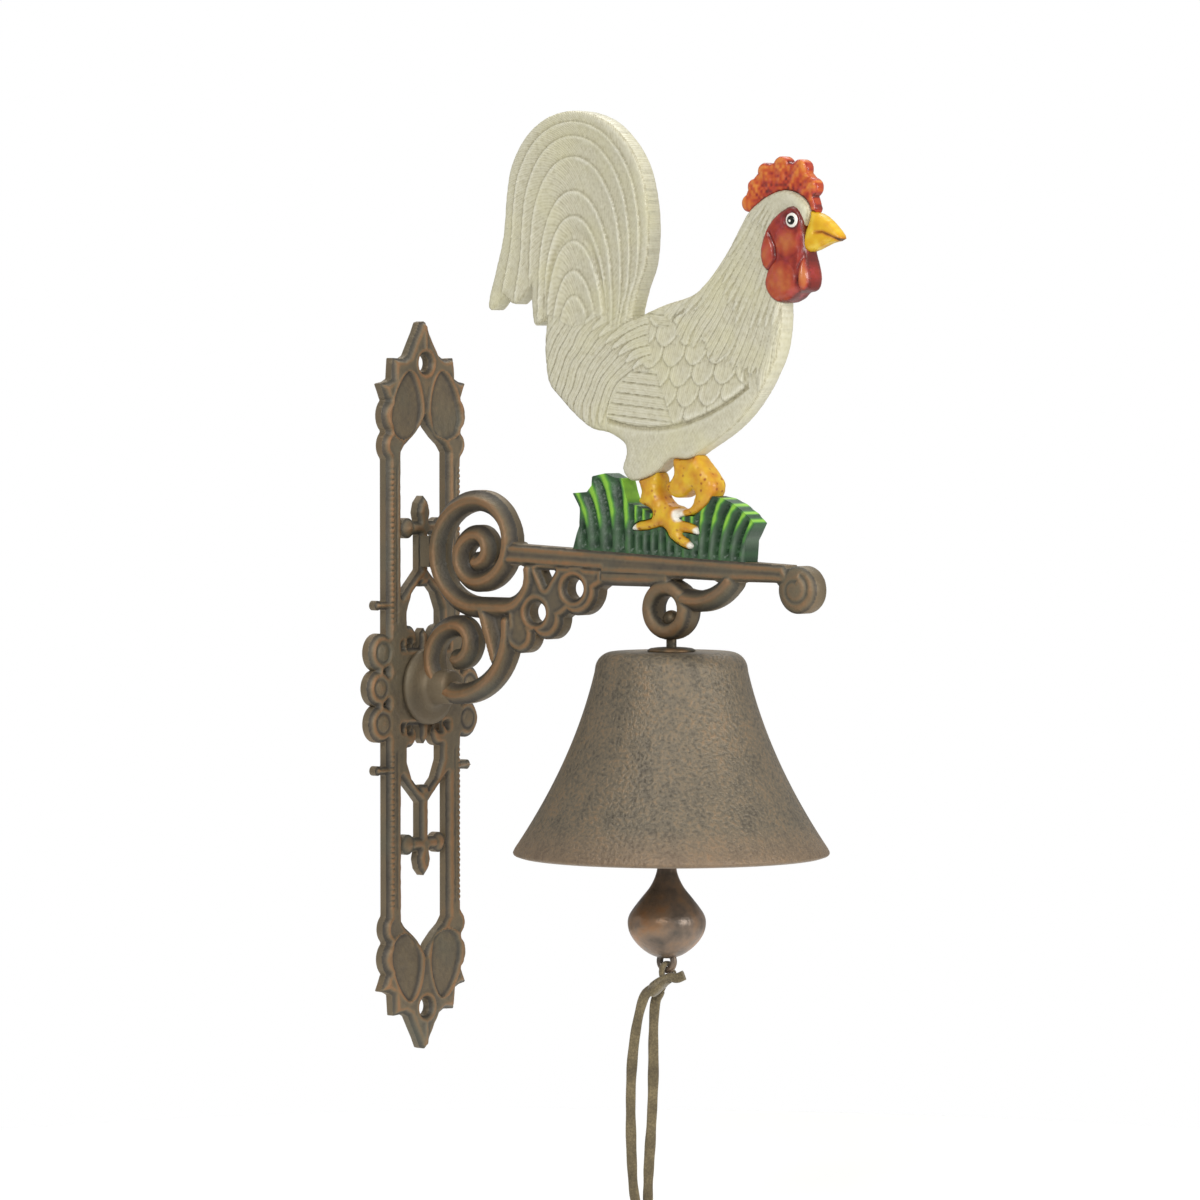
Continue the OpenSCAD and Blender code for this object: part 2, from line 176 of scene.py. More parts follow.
# Radius of the floor and its gap below the knot of the pull
FLOOR_R, FLOOR_GAP = 0.6, 0.012
floor_z = cad_box[0][2] - FLOOR_GAP
floor = mesh_piece(
    "floor",
    [(LOOKED_AT.x + FLOOR_R * math.cos(math.radians(a)), FLOOR_R * math.sin(math.radians(a)), floor_z)
     for a in range(0, 360, 5)],
    [range(72)], flat=True)
floor.data.materials.append(floor_paint())


# ------------------------------------------------------------------ leather pull
# A flat lace of split leather is looped through the lug under the clapper and crossed
# there, so that two strands hang side by side down to an overhand knot. The suede side is
# rough and dull, and blotchy in tone.

EYE_X = 143.5
LACE_W, LACE_T = 4.6, 1.7
LEFT_ROUTE = [(-6, -129), (-11, -133), (-15, -145), (-17.5, -160), (-18.5, -175),
              (-18.5, -190), (-18, -205), (-17, -218), (-15, -227), (-13, -231)]
RIGHT_ROUTE = [(-5, -130), (-8, -136), (-9, -150), (-9, -165), (-9.5, -180),
               (-10.5, -195), (-11.5, -208), (-12, -219), (-12, -227), (-12, -231)]


def curve_through(points, steps, closed=False):
    """A smooth line through the points, with that many steps between each two of them."""
    p = np.array(points, float)
    count = len(p)
    out = []
    for i in range(count if closed else count - 1):
        if closed:
            a, b, c, d = (p[(i + k) % count] for k in (-1, 0, 1, 2))
        else:
            b, c = p[i], p[i + 1]
            a = p[i - 1] if i else 2 * b - c
            d = p[i + 2] if i + 2 < count else 2 * c - b
        for t in np.arange(steps) / steps:
            out.append(0.5 * (2 * b + (c - a) * t + (2 * a - 5 * b + 4 * c - d) * t ** 2
                              + (3 * b - a - 3 * c + d) * t ** 3))
    if not closed:
        out.append(p[-1])
    return np.array(out)


def swept(name, line, section, closed=False, across=(0, 1, 0), turn=None, swell=None):
    """Sweeps a section, drawn as (along across, other way) in mm, along a line of points in mm."""
    line = np.array(line, float)
    count, sides = len(line), len(section)
    ahead, behind = np.roll(line, -1, 0), np.roll(line, 1, 0)
    if not closed:
        ahead[-1], behind[0] = line[-1], line[0]
    run = ahead - behind
    run /= np.linalg.norm(run, axis=1)[:, None]
    side = np.array(across, float) - run * (run @ np.array(across, float))[:, None]
    side /= np.linalg.norm(side, axis=1)[:, None]
    other = np.cross(run, side)
    points = []
    for i in range(count):
        angle = turn(i / (count - 1)) if turn else 0.0
        size = swell(i / (count - 1)) if swell else 1.0
        for s, o in section:
            a = (s * math.cos(angle) - o * math.sin(angle)) * size
            b = (s * math.sin(angle) + o * math.cos(angle)) * size
            points.append((line[i] + side[i] * a + other[i] * b) / 1000)
    faces = [(sides * i + k, sides * i + (k + 1) % sides,
              sides * ((i + 1) % count) + (k + 1) % sides, sides * ((i + 1) % count) + k)
             for i in range(count if closed else count - 1) for k in range(sides)]
    if not closed:
        faces += [list(range(sides))[::-1], [sides * (count - 1) + k for k in range(sides)]]
    return mesh_piece(name, points, faces)


def oval(wide, thick, sides=16, power=0.6):
    """Points of a flat section with soft corners, wide across and thick the other way."""
    out = []
    for k in range(sides):
        c, s = math.cos(2 * math.pi * k / sides), math.sin(2 * math.pi * k / sides)
        out.append((wide / 2 * math.copysign(abs(c) ** power, c),
                    thick / 2 * math.copysign(abs(s) ** power, s)))
    return out


def suede_leather():
    """Split leather, dyed olive brown: napped, so dull with a soft sheen, and blotchy where handled."""
    material, tree, shader, place = blank_finish(
        "split_leather_suede", Roughness=0.92, Sheen_Weight=0.35, Sheen_Roughness=0.5)
    nap = add(tree, "ShaderNodeTexNoise", {"Scale": 1 / 0.0008, "Detail": 4.0}, {"Vector": place})
    blotch = add(tree, "ShaderNodeTexNoise", {"Scale": 1 / 0.009, "Detail": 3.0}, {"Vector": place})
    both = add(tree, "ShaderNodeMath", {}, {0: nap.outputs["Fac"], 1: blotch.outputs["Fac"]},
               operation="ADD")
    half = add(tree, "ShaderNodeMath", {1: 0.5}, {0: both.outputs[0]}, operation="MULTIPLY")
    hue = add(tree, "ShaderNodeValToRGB", {}, {"Fac": half.outputs[0]},
              stops=[(0.34, "#4f4532"), (0.62, "#7f7152"), (0.5, "#685c42")])
    tree.links.new(hue.outputs["Color"], shader.inputs["Base Color"])
    lift = add(tree, "ShaderNodeBump", {"Strength": 0.6, "Distance": 0.0004},
               {"Height": nap.outputs["Fac"]})
    tree.links.new(lift.outputs["Normal"], shader.inputs["Normal"])
    return material


suede = suede_leather()


def strand(name, route, y, twist):
    """One hanging strand of the lace, from the hitch down to the knot."""
    line = curve_through([(EYE_X + x, y, z) for x, z in route], 9)
    piece = swept(name, line, oval(LACE_T, LACE_W), turn=lambda t: twist * math.sin(3.1 * t),
                  swell=lambda t: 1 + 0.05 * math.sin(23 * t) + 0.03 * math.sin(57 * t))
    piece.data.materials.append(suede)
    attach(piece, "strap")
    length = float(np.linalg.norm(np.diff(line, axis=0), axis=1).sum()) / 1000
    return piece, line / 1000, length


strand_left, left_line, left_length = strand("strand_left", LEFT_ROUTE, -2.0, -0.45)
strand_right, right_line, right_length = strand("strand_right", RIGHT_ROUTE, 2.0, -0.7)

hitch_loop = swept(
    "hitch_loop",
    [(EYE_X, 3.6 * math.cos(a), -121.3 + 3.6 * math.sin(a))
     for a in np.linspace(0, 2 * math.pi, 48, endpoint=False)],
    oval(2.4, 2.2), closed=True, across=(1, 0, 0))
hitch_wrap = swept(
    "hitch_wrap",
    curve_through([(EYE_X - 6.5, -2.4, -130), (EYE_X - 4, -3.6, -127.4), (EYE_X - 0.6, -3.4, -125),
                   (EYE_X + 3, -1.6, -123.6), (EYE_X + 6, -0.4, -123.8), (EYE_X + 9.4, 0.2, -122.4)], 8),
    oval(4.4, 1.8), across=(0.3, -0.4, 1.0), turn=lambda t: 0.5 * math.sin(5 * t))
hitch_cross = swept(
    "hitch_cross",
    curve_through([(EYE_X + 2.2, 3, -122.6), (EYE_X - 1.6, 3.4, -125), (EYE_X - 4.6, 3.2, -128),
                   (EYE_X - 5.6, 2.4, -131)], 8),
    oval(4.4, 1.8), across=(0.6, 0.2, 1.0))
hitch_core = swept(
    "hitch_core",
    curve_through([(EYE_X + 1.4, -1.4, -124.4), (EYE_X - 1.6, -1.2, -126.4), (EYE_X - 4.6, -1.6, -129.2),
                   (EYE_X - 7, -2, -131)], 8),
    oval(5.4, 4.2), across=(0, 1, 0))
knot_ring = swept(
    "knot_ring",
    curve_through([(EYE_X - 17, -2.2, -233.5), (EYE_X - 13, -4.2, -231.6), (EYE_X - 8.4, -2.6, -233.6),
                   (EYE_X - 8, 1.8, -236.6), (EYE_X - 12.4, 3.6, -238.4), (EYE_X - 16.8, 2, -236.8)],
                  8, closed=True),
    oval(4.4, 2.4), closed=True, across=(0.2, 0.1, 1.0))
knot_core = swept(
    "knot_core",
    curve_through([(EYE_X - 12.6, 0, -230), (EYE_X - 12.2, 0.2, -233), (EYE_X - 12.8, 0, -236),
                   (EYE_X - 12.6, 0.2, -239)], 8),
    oval(6.4, 5.0), across=(0, 1, 0))
knot_tail_near = swept(
    "knot_tail_near",
    curve_through([(EYE_X - 12.8, -1.4, -236), (EYE_X - 13.6, -1.8, -240), (EYE_X - 14.2, -1.4, -245.6)], 8),
    oval(1.7, 4.4))
knot_tail_far = swept(
    "knot_tail_far",
    curve_through([(EYE_X - 12.2, 1.4, -236), (EYE_X - 11.4, 1.8, -240), (EYE_X - 11, 1.2, -244)], 8),
    oval(1.7, 4.4))
hitch_pieces = [hitch_loop, hitch_wrap, hitch_cross, hitch_core]
knot_pieces = [knot_ring, knot_core, knot_tail_near, knot_tail_far]
for piece in hitch_pieces + knot_pieces:
    piece.data.materials.append(suede)
    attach(piece, "strap")
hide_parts("strap_left")
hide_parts("strap_right")
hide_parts("strap_hitch")
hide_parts("strap_knot")
tuple(left_line[0])
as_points(left_line)
tuple(right_line[0])
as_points(right_line)


# ------------------------------------------------------------------ wall plate
# An openwork iron casting, flat behind and modelled in front: bars with a row of beads,
# sunk egg-shaped panels at both ends, lobes, a heart and finials. It is sand cast, then
# given a brown patina that is rubbed back on the high edges.

PLATE_T = 5.7


def ease(t):
    """0 below 0, 1 above 1 and a smooth rise between."""
    t = np.clip(t, 0.0, 1.0)
    return t * t * (3 - 2 * t)


def grain(u, v, size, seed):
    """Smooth random hills of that size in mm, from -1 to 1, the same each run."""
    lattice = np.random.default_rng(seed).random((128, 128)) * 2 - 1
    a, b = np.asarray(u) / size + 40, np.asarray(v) / size + 40
    i, j = np.floor(a).astype(int), np.floor(b).astype(int)
    s, t = ease(a - i), ease(b - j)
    at = lambda p, q: lattice[(i + p) % 128, (j + q) % 128]
    return (at(0, 0) * (1 - s) + at(1, 0) * s) * (1 - t) + (at(0, 1) * (1 - s) + at(1, 1) * s) * t


def depth_in(u, v, loops):
    """Distance in mm from each point to the nearest edge of the loops, positive inside."""
    nearest = np.full(np.shape(u), 1e6)
    inside = np.zeros(np.shape(u), bool)
    for loop in loops:
        for (au, av), (bu, bv) in zip(loop, loop[1:] + loop[:1]):
            eu, ev = bu - au, bv - av
            t = np.clip(((u - au) * eu + (v - av) * ev) / (eu * eu + ev * ev), 0, 1)
            nearest = np.minimum(nearest, (u - au - t * eu) ** 2 + (v - av - t * ev) ** 2)
            if av != bv:
                inside ^= ((av > v) != (bv > v)) & (u < au + (v - av) / ev * eu)
    return np.sqrt(nearest) * np.where(inside, 1, -1)


def cad_loops(node, axis, level):
    """The closed loops, in mm, round the flat face of a CAD node that lies across an axis at a level."""
    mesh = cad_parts[node].data
    spots = np.array([v.co for v in mesh.vertices]) * 1000
    flat = [a for a in range(3) if a != axis]
    edges = []
    for face in mesh.polygons:
        if max(abs(spots[i][axis] - level) for i in face.vertices) < 0.02:
            ring = [tuple(float(x) for x in np.round(spots[i][flat], 2)) for i in face.vertices]
            edges += list(zip(ring, ring[1:] + ring[:1]))
    known = set(edges)
    follow = {a: b for a, b in edges if (b, a) not in known and a != b}
    loops = []
    while follow:
        at = min(follow)
        loop = []
        while at in follow:
            loop.append(at)
            at = follow.pop(at)
        loops.append(loop)
    return loops


def softened(values, solid, rounds):
    """Values on a grid, averaged over their neighbours on the solid a number of times."""
    mass, held = solid.astype(float), np.where(solid, values, 0.0)
    for _ in range(rounds):
        for sheet in (mass, held):
            middle = sheet.copy()
            for axis in (0, 1):
                middle += np.roll(sheet, 1, axis) + np.roll(sheet, -1, axis)
            sheet[:] = middle / 5
    return np.where(mass > 1e-6, held / np.maximum(mass, 1e-6), 0.0)


def cast_relief(name, depth_of, face_of, back_of, low, high, step, place_of, marks=None):
    """A closed casting over a flat outline. depth_of gives how deep a point lies inside the
    outline, face_of and back_of the level of its two faces there, all in mm, and place_of
    the point in space. Each corner keeps a number "wear", above 0 on ridges and below 0 in
    hollows, and the numbers that marks works out for it."""
    u, v = np.meshgrid(np.arange(low[0] - 2 * step, high[0] + 3 * step, step),
                       np.arange(low[1] - 2 * step, high[1] + 3 * step, step), indexing="ij")
    depth = depth_of(u, v)
    depth[np.abs(depth) < 0.04 * step] = 0.04 * step
    solid = depth > 0
    level = np.abs(face_of(u, v, depth))
    wear = np.clip((level - softened(level, solid, 7)) / 0.35, -1, 1)[solid]
    number = np.full(u.shape, -1)
    number[solid] = np.arange(solid.sum())
    spots = list(zip(u[solid], v[solid], depth[solid]))
    corner = np.stack([number[:-1, :-1], number[1:, :-1], number[1:, 1:], number[:-1, 1:]], -1)
    within = (corner >= 0).sum(-1)
    faces = [list(f) for f in corner[within == 4]]
    cuts, rim = {}, []

    def cut(a, b):
        key = (a, b) if a < b else (b, a)
        if key not in cuts:
            p, q = key
            t = depth[p] / (depth[p] - depth[q])
            cuts[key] = len(spots)
            spots.append((u[p] + (u[q] - u[p]) * t, v[p] + (v[q] - v[p]) * t, 0.0))
        return cuts[key]

    for i, j in np.argwhere((within > 0) & (within < 4)):
        ring = [(i, j), (i + 1, j), (i + 1, j + 1), (i, j + 1)]
        face, leaves = [], []
        for a, b in zip(ring, ring[1:] + ring[:1]):
            if solid[a]:
                face.append(int(number[a]))
            if solid[a] != solid[b]:
                if solid[a]:
                    leaves.append(len(face))
                face.append(cut(a, b))
        faces.append(face)
        rim += [(face[k], face[(k + 1) % len(face)]) for k in leaves]

    pu, pv, pd = (np.array(c) for c in zip(*spots))
    front = [place_of(*p) for p in zip(pu, pv, face_of(pu, pv, pd))]
    back = [place_of(*p) for p in zip(pu, pv, back_of(pu, pv, pd))]
    count = len(spots)
    faces += [[n + count for n in reversed(f)] for f in faces]
    faces += [[b, a, a + count, b + count] for a, b in rim]
    piece = mesh_piece(name, front + back, faces)
    if len(piece.data.vertices) == 2 * count:
        edge_wear = np.full(count - len(wear), 0.15)
        numbers = {"wear": np.concatenate([wear, edge_wear])}
        for mark, number_of in (marks or {}).items():
            numbers[mark] = number_of(pu, pv, pd)
        for mark, values in numbers.items():
            kept = piece.data.attributes.new(mark, "FLOAT", "POINT")
            kept.data.foreach_set("value", np.concatenate([values, values]).astype(np.float32))
    return piece


def patinated_iron():
    """Sand-cast iron under a brown patina: grey in the hollows, rubbed to rust on the ridges,
    satin, with the fine pitting of the sand."""
    material, tree, shader, place = blank_finish("patinated_cast_iron", Metallic=0.35, Roughness=0.55)
    sand = add(tree, "ShaderNodeTexNoise", {"Scale": 1 / 0.0013, "Detail": 3.0}, {"Vector": place})
    patch = add(tree, "ShaderNodeTexNoise", {"Scale": 1 / 0.016, "Detail": 4.0}, {"Vector": place})
    worn = add(tree, "ShaderNodeAttribute", attribute_name="wear")
    shift = add(tree, "ShaderNodeMath", {1: 0.27, 2: 0.5}, {0: worn.outputs["Fac"]},
                operation="MULTIPLY_ADD")
    mottled = add(tree, "ShaderNodeMath", {1: 0.36, 2: -0.18}, {0: patch.outputs["Fac"]},
                  operation="MULTIPLY_ADD")
    level = add(tree, "ShaderNodeMath", {}, {0: shift.outputs[0], 1: mottled.outputs[0]},
                operation="ADD")
    hue = add(tree, "ShaderNodeValToRGB", {}, {"Fac": level.outputs[0]},
              stops=[(0.12, "#3a3834"), (0.95, "#a0704a"), (0.36, "#5e5548"), (0.55, "#766851"),
                     (0.74, "#8a6c4c")])
    cool = add(tree, "ShaderNodeTexNoise", {"Scale": 1 / 0.028, "Detail": 2.0, "W": 3.0},
               {"Vector": place}, noise_dimensions="4D")
    where = add(tree, "ShaderNodeMapRange", {1: 0.5, 2: 0.72, 3: 0.0, 4: 0.45},
                {0: cool.outputs["Fac"]})
    blend = add(tree, "ShaderNodeMix", {7: linear("#5f6154")},
                {0: where.outputs[0], 6: hue.outputs["Color"]}, data_type="RGBA")
    tree.links.new(blend.outputs[2], shader.inputs["Base Color"])
    lift = add(tree, "ShaderNodeBump", {"Strength": 0.5, "Distance": 0.0005},
               {"Height": sand.outputs["Fac"]})
    tree.links.new(lift.outputs["Normal"], shader.inputs["Normal"])
    return material


iron = patinated_iron()


def plate_face(y, z, depth):
    """How far the plate's modelled face stands from the wall, in mm."""
    side, up = np.abs(y), np.abs(z)
    level = PLATE_T - 2.3 * (1 - ease(depth / 2.6))
    on_bar = ease((up - 27) / 3) * ease((101 - up) / 3) * ease((side - 14) / 1)
    bead = np.sqrt(np.maximum(0, 1 - ((side - 23.3) / 1.2) ** 2
                              - (((up % 2.4) - 1.2) / 1.15) ** 2))
    level += on_bar * (0.75 * bead - 0.6 * ease(1 - np.abs(side - 23.3) / 2.0)
                       - 0.45 * ease(1 - np.abs(side - 20.4) / 1.2))
    t = np.clip((up - 127) / 15.5, -1, 1)
    wide = 10.2 * np.sqrt(1 - t * t) * (1 - 0.3 * t) + 0.01
    egg = np.abs(side - 13.2 + 1.8 * t) / wide
    sunk = ease((1 - egg) * wide / 1.4) * (np.abs(up - 127) < 15.5)
    rim = np.exp(-(((egg - 1) * wide - 0.7) / 0.9) ** 2) * ease((16.5 - np.abs(up - 127)) / 2)
    level += 0.7 * rim - 1.1 * sunk
    from_hole = np.hypot(y, up - 146)
    level += 0.9 * np.exp(-((from_hole - 5.6) / 0.9) ** 2)
    tip = ease((up - 151) / 3)
    level += tip * (0.9 * np.exp(-(side / 1.1) ** 2) - 0.3)
    for cy, cz, r in ((20, 122.5, 6.4), (21, 109, 5.2)):
        scale = np.abs(np.hypot(side - cy, up - cz) - r)
        level += 0.6 * np.exp(-(scale / 0.7) ** 2) * ease((side - cy - 1) / 2)
    for cy, cz, r in ((29.6, 16, 4.4), (31.2, 0, 4.0), (10.8, 71.6, 2.4), (31.2, 37.2, 1.0)):
        away = np.hypot(side - cy, up - cz)
        level += -0.6 * np.exp(-((away - r) / 0.9) ** 2) + 0.5 * ease(1 - away / (0.7 * r))
    return level + 0.12 * grain(y, z, 2.2, 3)


def plate_back(y, z, depth):
    return np.zeros(np.shape(y)) + 0.02


plate_loops = cad_loops("wall_plate", 0, PLATE_T)
plate = cast_relief(
    "plate_casting", lambda y, z: depth_in(y, z, plate_loops), plate_face, plate_back,
    (-40, -165.5), (40, 165.5), 0.62, lambda y, z, h: (h / 1000, y / 1000, z / 1000))
plate.data.materials.append(iron)
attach(plate, "frame")
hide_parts("wall_plate")


# ------------------------------------------------------------------ arm
# One iron casting, the same on both faces: ribs that rise to a ridge form two scrolls, a
# pierced web with a scalloped edge holds up the beam, and a ring under the beam carries
# the bell. A round foot with a boss is cast on the wall end.

ARM_HALF = 7.0
RIB = 4.7
SCROLLS = [(38, 60.4, 24, 90, 180), (38, 66.2, 18.2, -90, 180), (38, 58.4, 10.4, 90, 180),
           (38, 62.75, 6.05, -90, 180), (26, 12.5, 15.4, 90, 180), (26, 20.3, 7.6, -90, 180),
           (26, 27.1, 30, -90, 96), (54, 51.4, 15, -90, 100), (162, 66, 24, -104, 66)]
STRAIGHTS = [(38, 36.4, 54.5, 36.4), (42, 36, 49.5, 14)]
RING_X, RING_Z, RING_R, RING_HOLE = 146, 38, 13.3, 6


def beam_top(x):
    return 65.4 - (x - 56) * math.tan(math.radians(2.5))


def arc_away(x, z, cx, cz, r, start, sweep):
    """Distance in mm from an arc of a circle."""
    turn = (np.degrees(np.arctan2(z - cz, x - cx)) - start) % 360
    ends = [np.hypot(x - cx - r * math.cos(math.radians(a)), z - cz - r * math.sin(math.radians(a)))
            for a in (start, start + sweep)]
    return np.where(turn <= sweep, np.abs(np.hypot(x - cx, z - cz) - r), np.minimum(*ends))


def line_away(x, z, ax, az, bx, bz):
    """Distance in mm from a straight line between two points."""
    ex, ez = bx - ax, bz - az
    t = np.clip(((x - ax) * ex + (z - az) * ez) / (ex * ex + ez * ez), 0, 1)
    return np.hypot(x - ax - t * ex, z - az - t * ez)


def rib_level(away):
    """Half thickness of a rib at a distance from its ridge: a narrow ridge and hollow flanks."""
    return ARM_HALF - 5.0 * np.clip((away - 1.1) / (RIB - 1.1), 0, 1) ** 0.9


BEAM = [(54, beam_top(54)), (211, beam_top(211)), (217, 50), (206, 51), (184, 51), (110, 53),
        (110, 54.5), (54, 56.6)]
UNDER_RIB = [(108, 47.8), (136, 47.8), (150, 47), (150, 56), (108, 56)]
WEB = [(57, 20), (72, 26), (88, 33), (112, 48.5), (112, 56), (66, 58), (56, 36)]
WEB_LOBES = [(63.5, 25, 8.4), (78.5, 32.5, 9.4), (96, 46, 11.8)]
WEB_HOLES = [(73, 35, 4.6), (94.5, 46, 4.6), (54, 51.4, 12)]
WEB_EYE = [(74.5, 54), (83.5, 54), (78.5, 47)]
GUSSET = [(42, 36), (57, 36), (50, 14)]


def arm_parts(x, z):
    """Each part of the arm as how deep a point lies in it and its half thickness there."""
    for arc in SCROLLS:
        away = arc_away(x, z, *arc)
        yield RIB - away, rib_level(away)
    for line in STRAIGHTS:
        away = line_away(x, z, *line)
        yield RIB - away, rib_level(away)
    web = depth_in(x, z, [WEB])
    for cx, cz, r in WEB_LOBES:
        web = np.maximum(web, r - np.hypot(x - cx, z - cz))
    for cx, cz, r in WEB_HOLES:
        web = np.minimum(web, np.hypot(x - cx, z - cz) - r)
    web = np.minimum(web, -depth_in(x, z, [WEB_EYE]))
    yield web, 5.6 - 2.6 * (1 - ease(web / 2.4)) - 0.7 * ease((web - 2.8) / 1.8)
    beam = depth_in(x, z, [BEAM])
    yield beam, 6.1 - 1.6 * (1 - ease(beam / 1.8)) - 0.6 * ease((beam - 2.4) / 1.8)
    under = depth_in(x, z, [UNDER_RIB])
    yield under, 5.6 - 3.0 * (1 - ease(under / 3.4))
    gusset = depth_in(x, z, [GUSSET])
    yield gusset, 2.5 + 0 * gusset
    around_curl = np.hypot(x - 217.5, z - 48.1)
    turn = (np.degrees(np.arctan2(z - 48.1, x - 217.5)) - 70) % 360
    groove = np.exp(-((around_curl - 3.6 - 3.2 * turn / 360) / 0.9) ** 2)
    curl = 10.3 - around_curl
    yield curl, 2.2 + 5.0 * np.sqrt(np.clip(1 - (around_curl / 10.6) ** 2, 0, 1)) - 0.7 * groove
    out = np.hypot(x - RING_X, z - RING_Z)
    ring = np.minimum(RING_R - out, out - RING_HOLE)
    yield ring, 2.0 + 4.6 * np.sqrt(np.clip(1 - (1 - np.maximum(ring, 0) / 3.65) ** 2, 0, 1))


def arm_depth(x, z):
    return np.max([depth for depth, _ in arm_parts(x, z)], axis=0)


def arm_half(x, z, depth):
    levels = [np.where(deep >= -0.6, level, 0.0) for deep, level in arm_parts(x, z)]
    return np.maximum(np.max(levels, axis=0), 1.4) + 0.1 * grain(x, z, 2.0, 5)


def in_arm(x, z, h):
    return (x / 1000, h / 1000, z / 1000)


arm = cast_relief("arm_casting", arm_depth, lambda x, z, d: -arm_half(x, z, d), arm_half,
                  (5, -8), (229, 90), 0.62, in_arm)
arm.data.materials.append(iron)


def turned(name, profile, foot=(0, 0, 0), axis="Z", sides=96):
    """Turns a profile of (radius, height) points in mm about an axis through a point in mm."""
    points, faces, rows = [], [], []
    for r, h in profile:
        row = []
        for k in range(sides if r > 0 else 1):
            a = 2 * math.pi * k / sides
            spot = (r * math.cos(a), r * math.sin(a), h)
            if axis == "X":
                spot = (spot[2], spot[0], spot[1])
            elif axis == "Y":
                spot = (spot[1], spot[2], spot[0])
            row.append(len(points))
            points.append(tuple((f + s) / 1000 for f, s in zip(foot, spot)))
        rows.append(row)
    for low, high in zip(rows, rows[1:]):
        for k in range(sides):
            face = [low[k % len(low)], low[(k + 1) % len(low)],
                    high[(k + 1) % len(high)], high[k % len(high)]]
            face = [n for i, n in enumerate(face) if n not in face[:i]]
            if len(face) > 2:
                faces.append(face)
    return mesh_piece(name, points, faces)


foot = turned("arm_foot", [(3.1, 5.72), (16.2, 5.72), (17.5, 6.6), (17.4, 8.0), (16.4, 9.0), (14.4, 9.6),
                           (12.2, 9.9), (10, 10.4), (8.6, 11.6), (8, 13.4), (7.8, 20), (6.8, 21.6),
                           (5, 22), (0, 22)], axis="X")
lug = cast_relief(
    "arm_lug", lambda y, z: depth_in(y, z, [[(-4.5, 54), (4.5, 54), (4.5, 68), (-4.5, 68)]]),
    lambda y, z, d: 12.2 - 1.2 * (1 - ease(d / 1.5)), lambda y, z, d: 5.75 + 0 * y,
    (-5, 53), (5, 69), 0.6, lambda y, z, h: (h / 1000, y / 1000, z / 1000))
for piece in (foot, lug):
    piece.data.materials.append(iron)
for piece in (arm, foot, lug):
    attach(piece, "frame")
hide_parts("bracket")


# ------------------------------------------------------------------ grass
# Two clumps of cast blades and a low row between them, in one piece with the arm's beam
# and painted dark green, with bright tips brushed on and the iron showing grey low down.
# The bright green runs as a band down the same side of every blade, a painted highlight that grows into the
# brushed tips.

GRASS_HALF = 5.5


def blade_at(x, z):
    """Which blade a point is on, as a count from the left, and its height over the beam in mm."""
    up = np.maximum(z - beam_top(x), 0)
    lean_left = 9 * (up / 27) ** 2 * np.clip((128 - x) / 34, 0, 1)
    lean_right = 8 * (up / 21) ** 1.6 * np.clip((x - 160) / 30, 0, 1)
    foot = x + lean_left - lean_right
    count = np.where(foot < 126, (foot - 94) / 7.0, 4.57 + (foot - 126) / 4.4)
    return np.where(foot > 165, 13.43 + (foot - 165) / 5.6, count), up


def grass_half(x, z, depth):
    count, up = blade_at(x, z)
    blade = np.abs(np.sin(math.pi * count)) ** 0.7
    outer = ease((2.2 - depth) / 1.2)
    half = GRASS_HALF - 3.2 + 3.0 * blade
    return half + (4.6 - half) * 0.8 * outer + 0.1 * grain(x, z, 1.8, 7)


def grass_tint(x, z, depth):
    """0 in the dark green between the blades, 1 on a blade's bright edge and tip. The bright edge, always on
    the same side of a blade, is a painted highlight; it brightens into the brushed tip.
    """
    count, up = blade_at(x, z)
    across = count % 1
    # painted highlight: a bright band down the same side of every blade, as if the lamp lit that side
    painted_highlight_side = np.exp(-((across - 0.42) / 0.2) ** 2)
    return np.clip(0.12 + painted_highlight_side * (0.15 + 0.85 * ease((up - 7) / 12)) + 0.2 * grain(x, z, 3, 8), 0, 1)


def grass_paint():
    """Brushed enamel over the casting: dark green with bright green on the blades, semi-gloss,
    thin enough low down that the iron greys it. The bright green along one side of each blade is a painted
    highlight; toward the tips it is brushed paint."""
    material, tree, shader, place = blank_finish("green_enamel_with_painted_highlight", Roughness=0.42)
    tint = add(tree, "ShaderNodeAttribute", attribute_name="tint")
    # high tint gives the bright green: brushed paint at the tips, and a painted highlight along one side of
    # each blade
    hue = add(tree, "ShaderNodeValToRGB", {}, {"Fac": tint.outputs["Fac"]},
              stops=[(0.02, "#26402a"), (1.0, "#8cc63e"), (0.3, "#365a36"), (0.6, "#4c8a34")])
    worn = add(tree, "ShaderNodeAttribute", attribute_name="grey")
    blend = add(tree, "ShaderNodeMix", {7: linear("#6a7868")},
                {0: worn.outputs["Fac"], 6: hue.outputs["Color"]}, data_type="RGBA")
    tree.links.new(blend.outputs[2], shader.inputs["Base Color"])
    brush = add(tree, "ShaderNodeTexNoise", {"Scale": 1 / 0.0012, "Detail": 3.0}, {"Vector": place})
    lift = add(tree, "ShaderNodeBump", {"Strength": 0.4, "Distance": 0.0004},
               {"Height": brush.outputs["Fac"]})
    tree.links.new(lift.outputs["Normal"], shader.inputs["Normal"])
    return material


def grass_grey(x, z, depth):
    """How much grey iron shows through the thin paint on the middle of a blade, low down."""
    count, up = blade_at(x, z)
    streak = np.exp(-((count % 1 - 0.62) / 0.13) ** 2)
    return np.clip(0.75 * streak * ease((18 - up) / 10) * (0.7 + 0.3 * grain(x, z, 2.5, 9)), 0, 1)


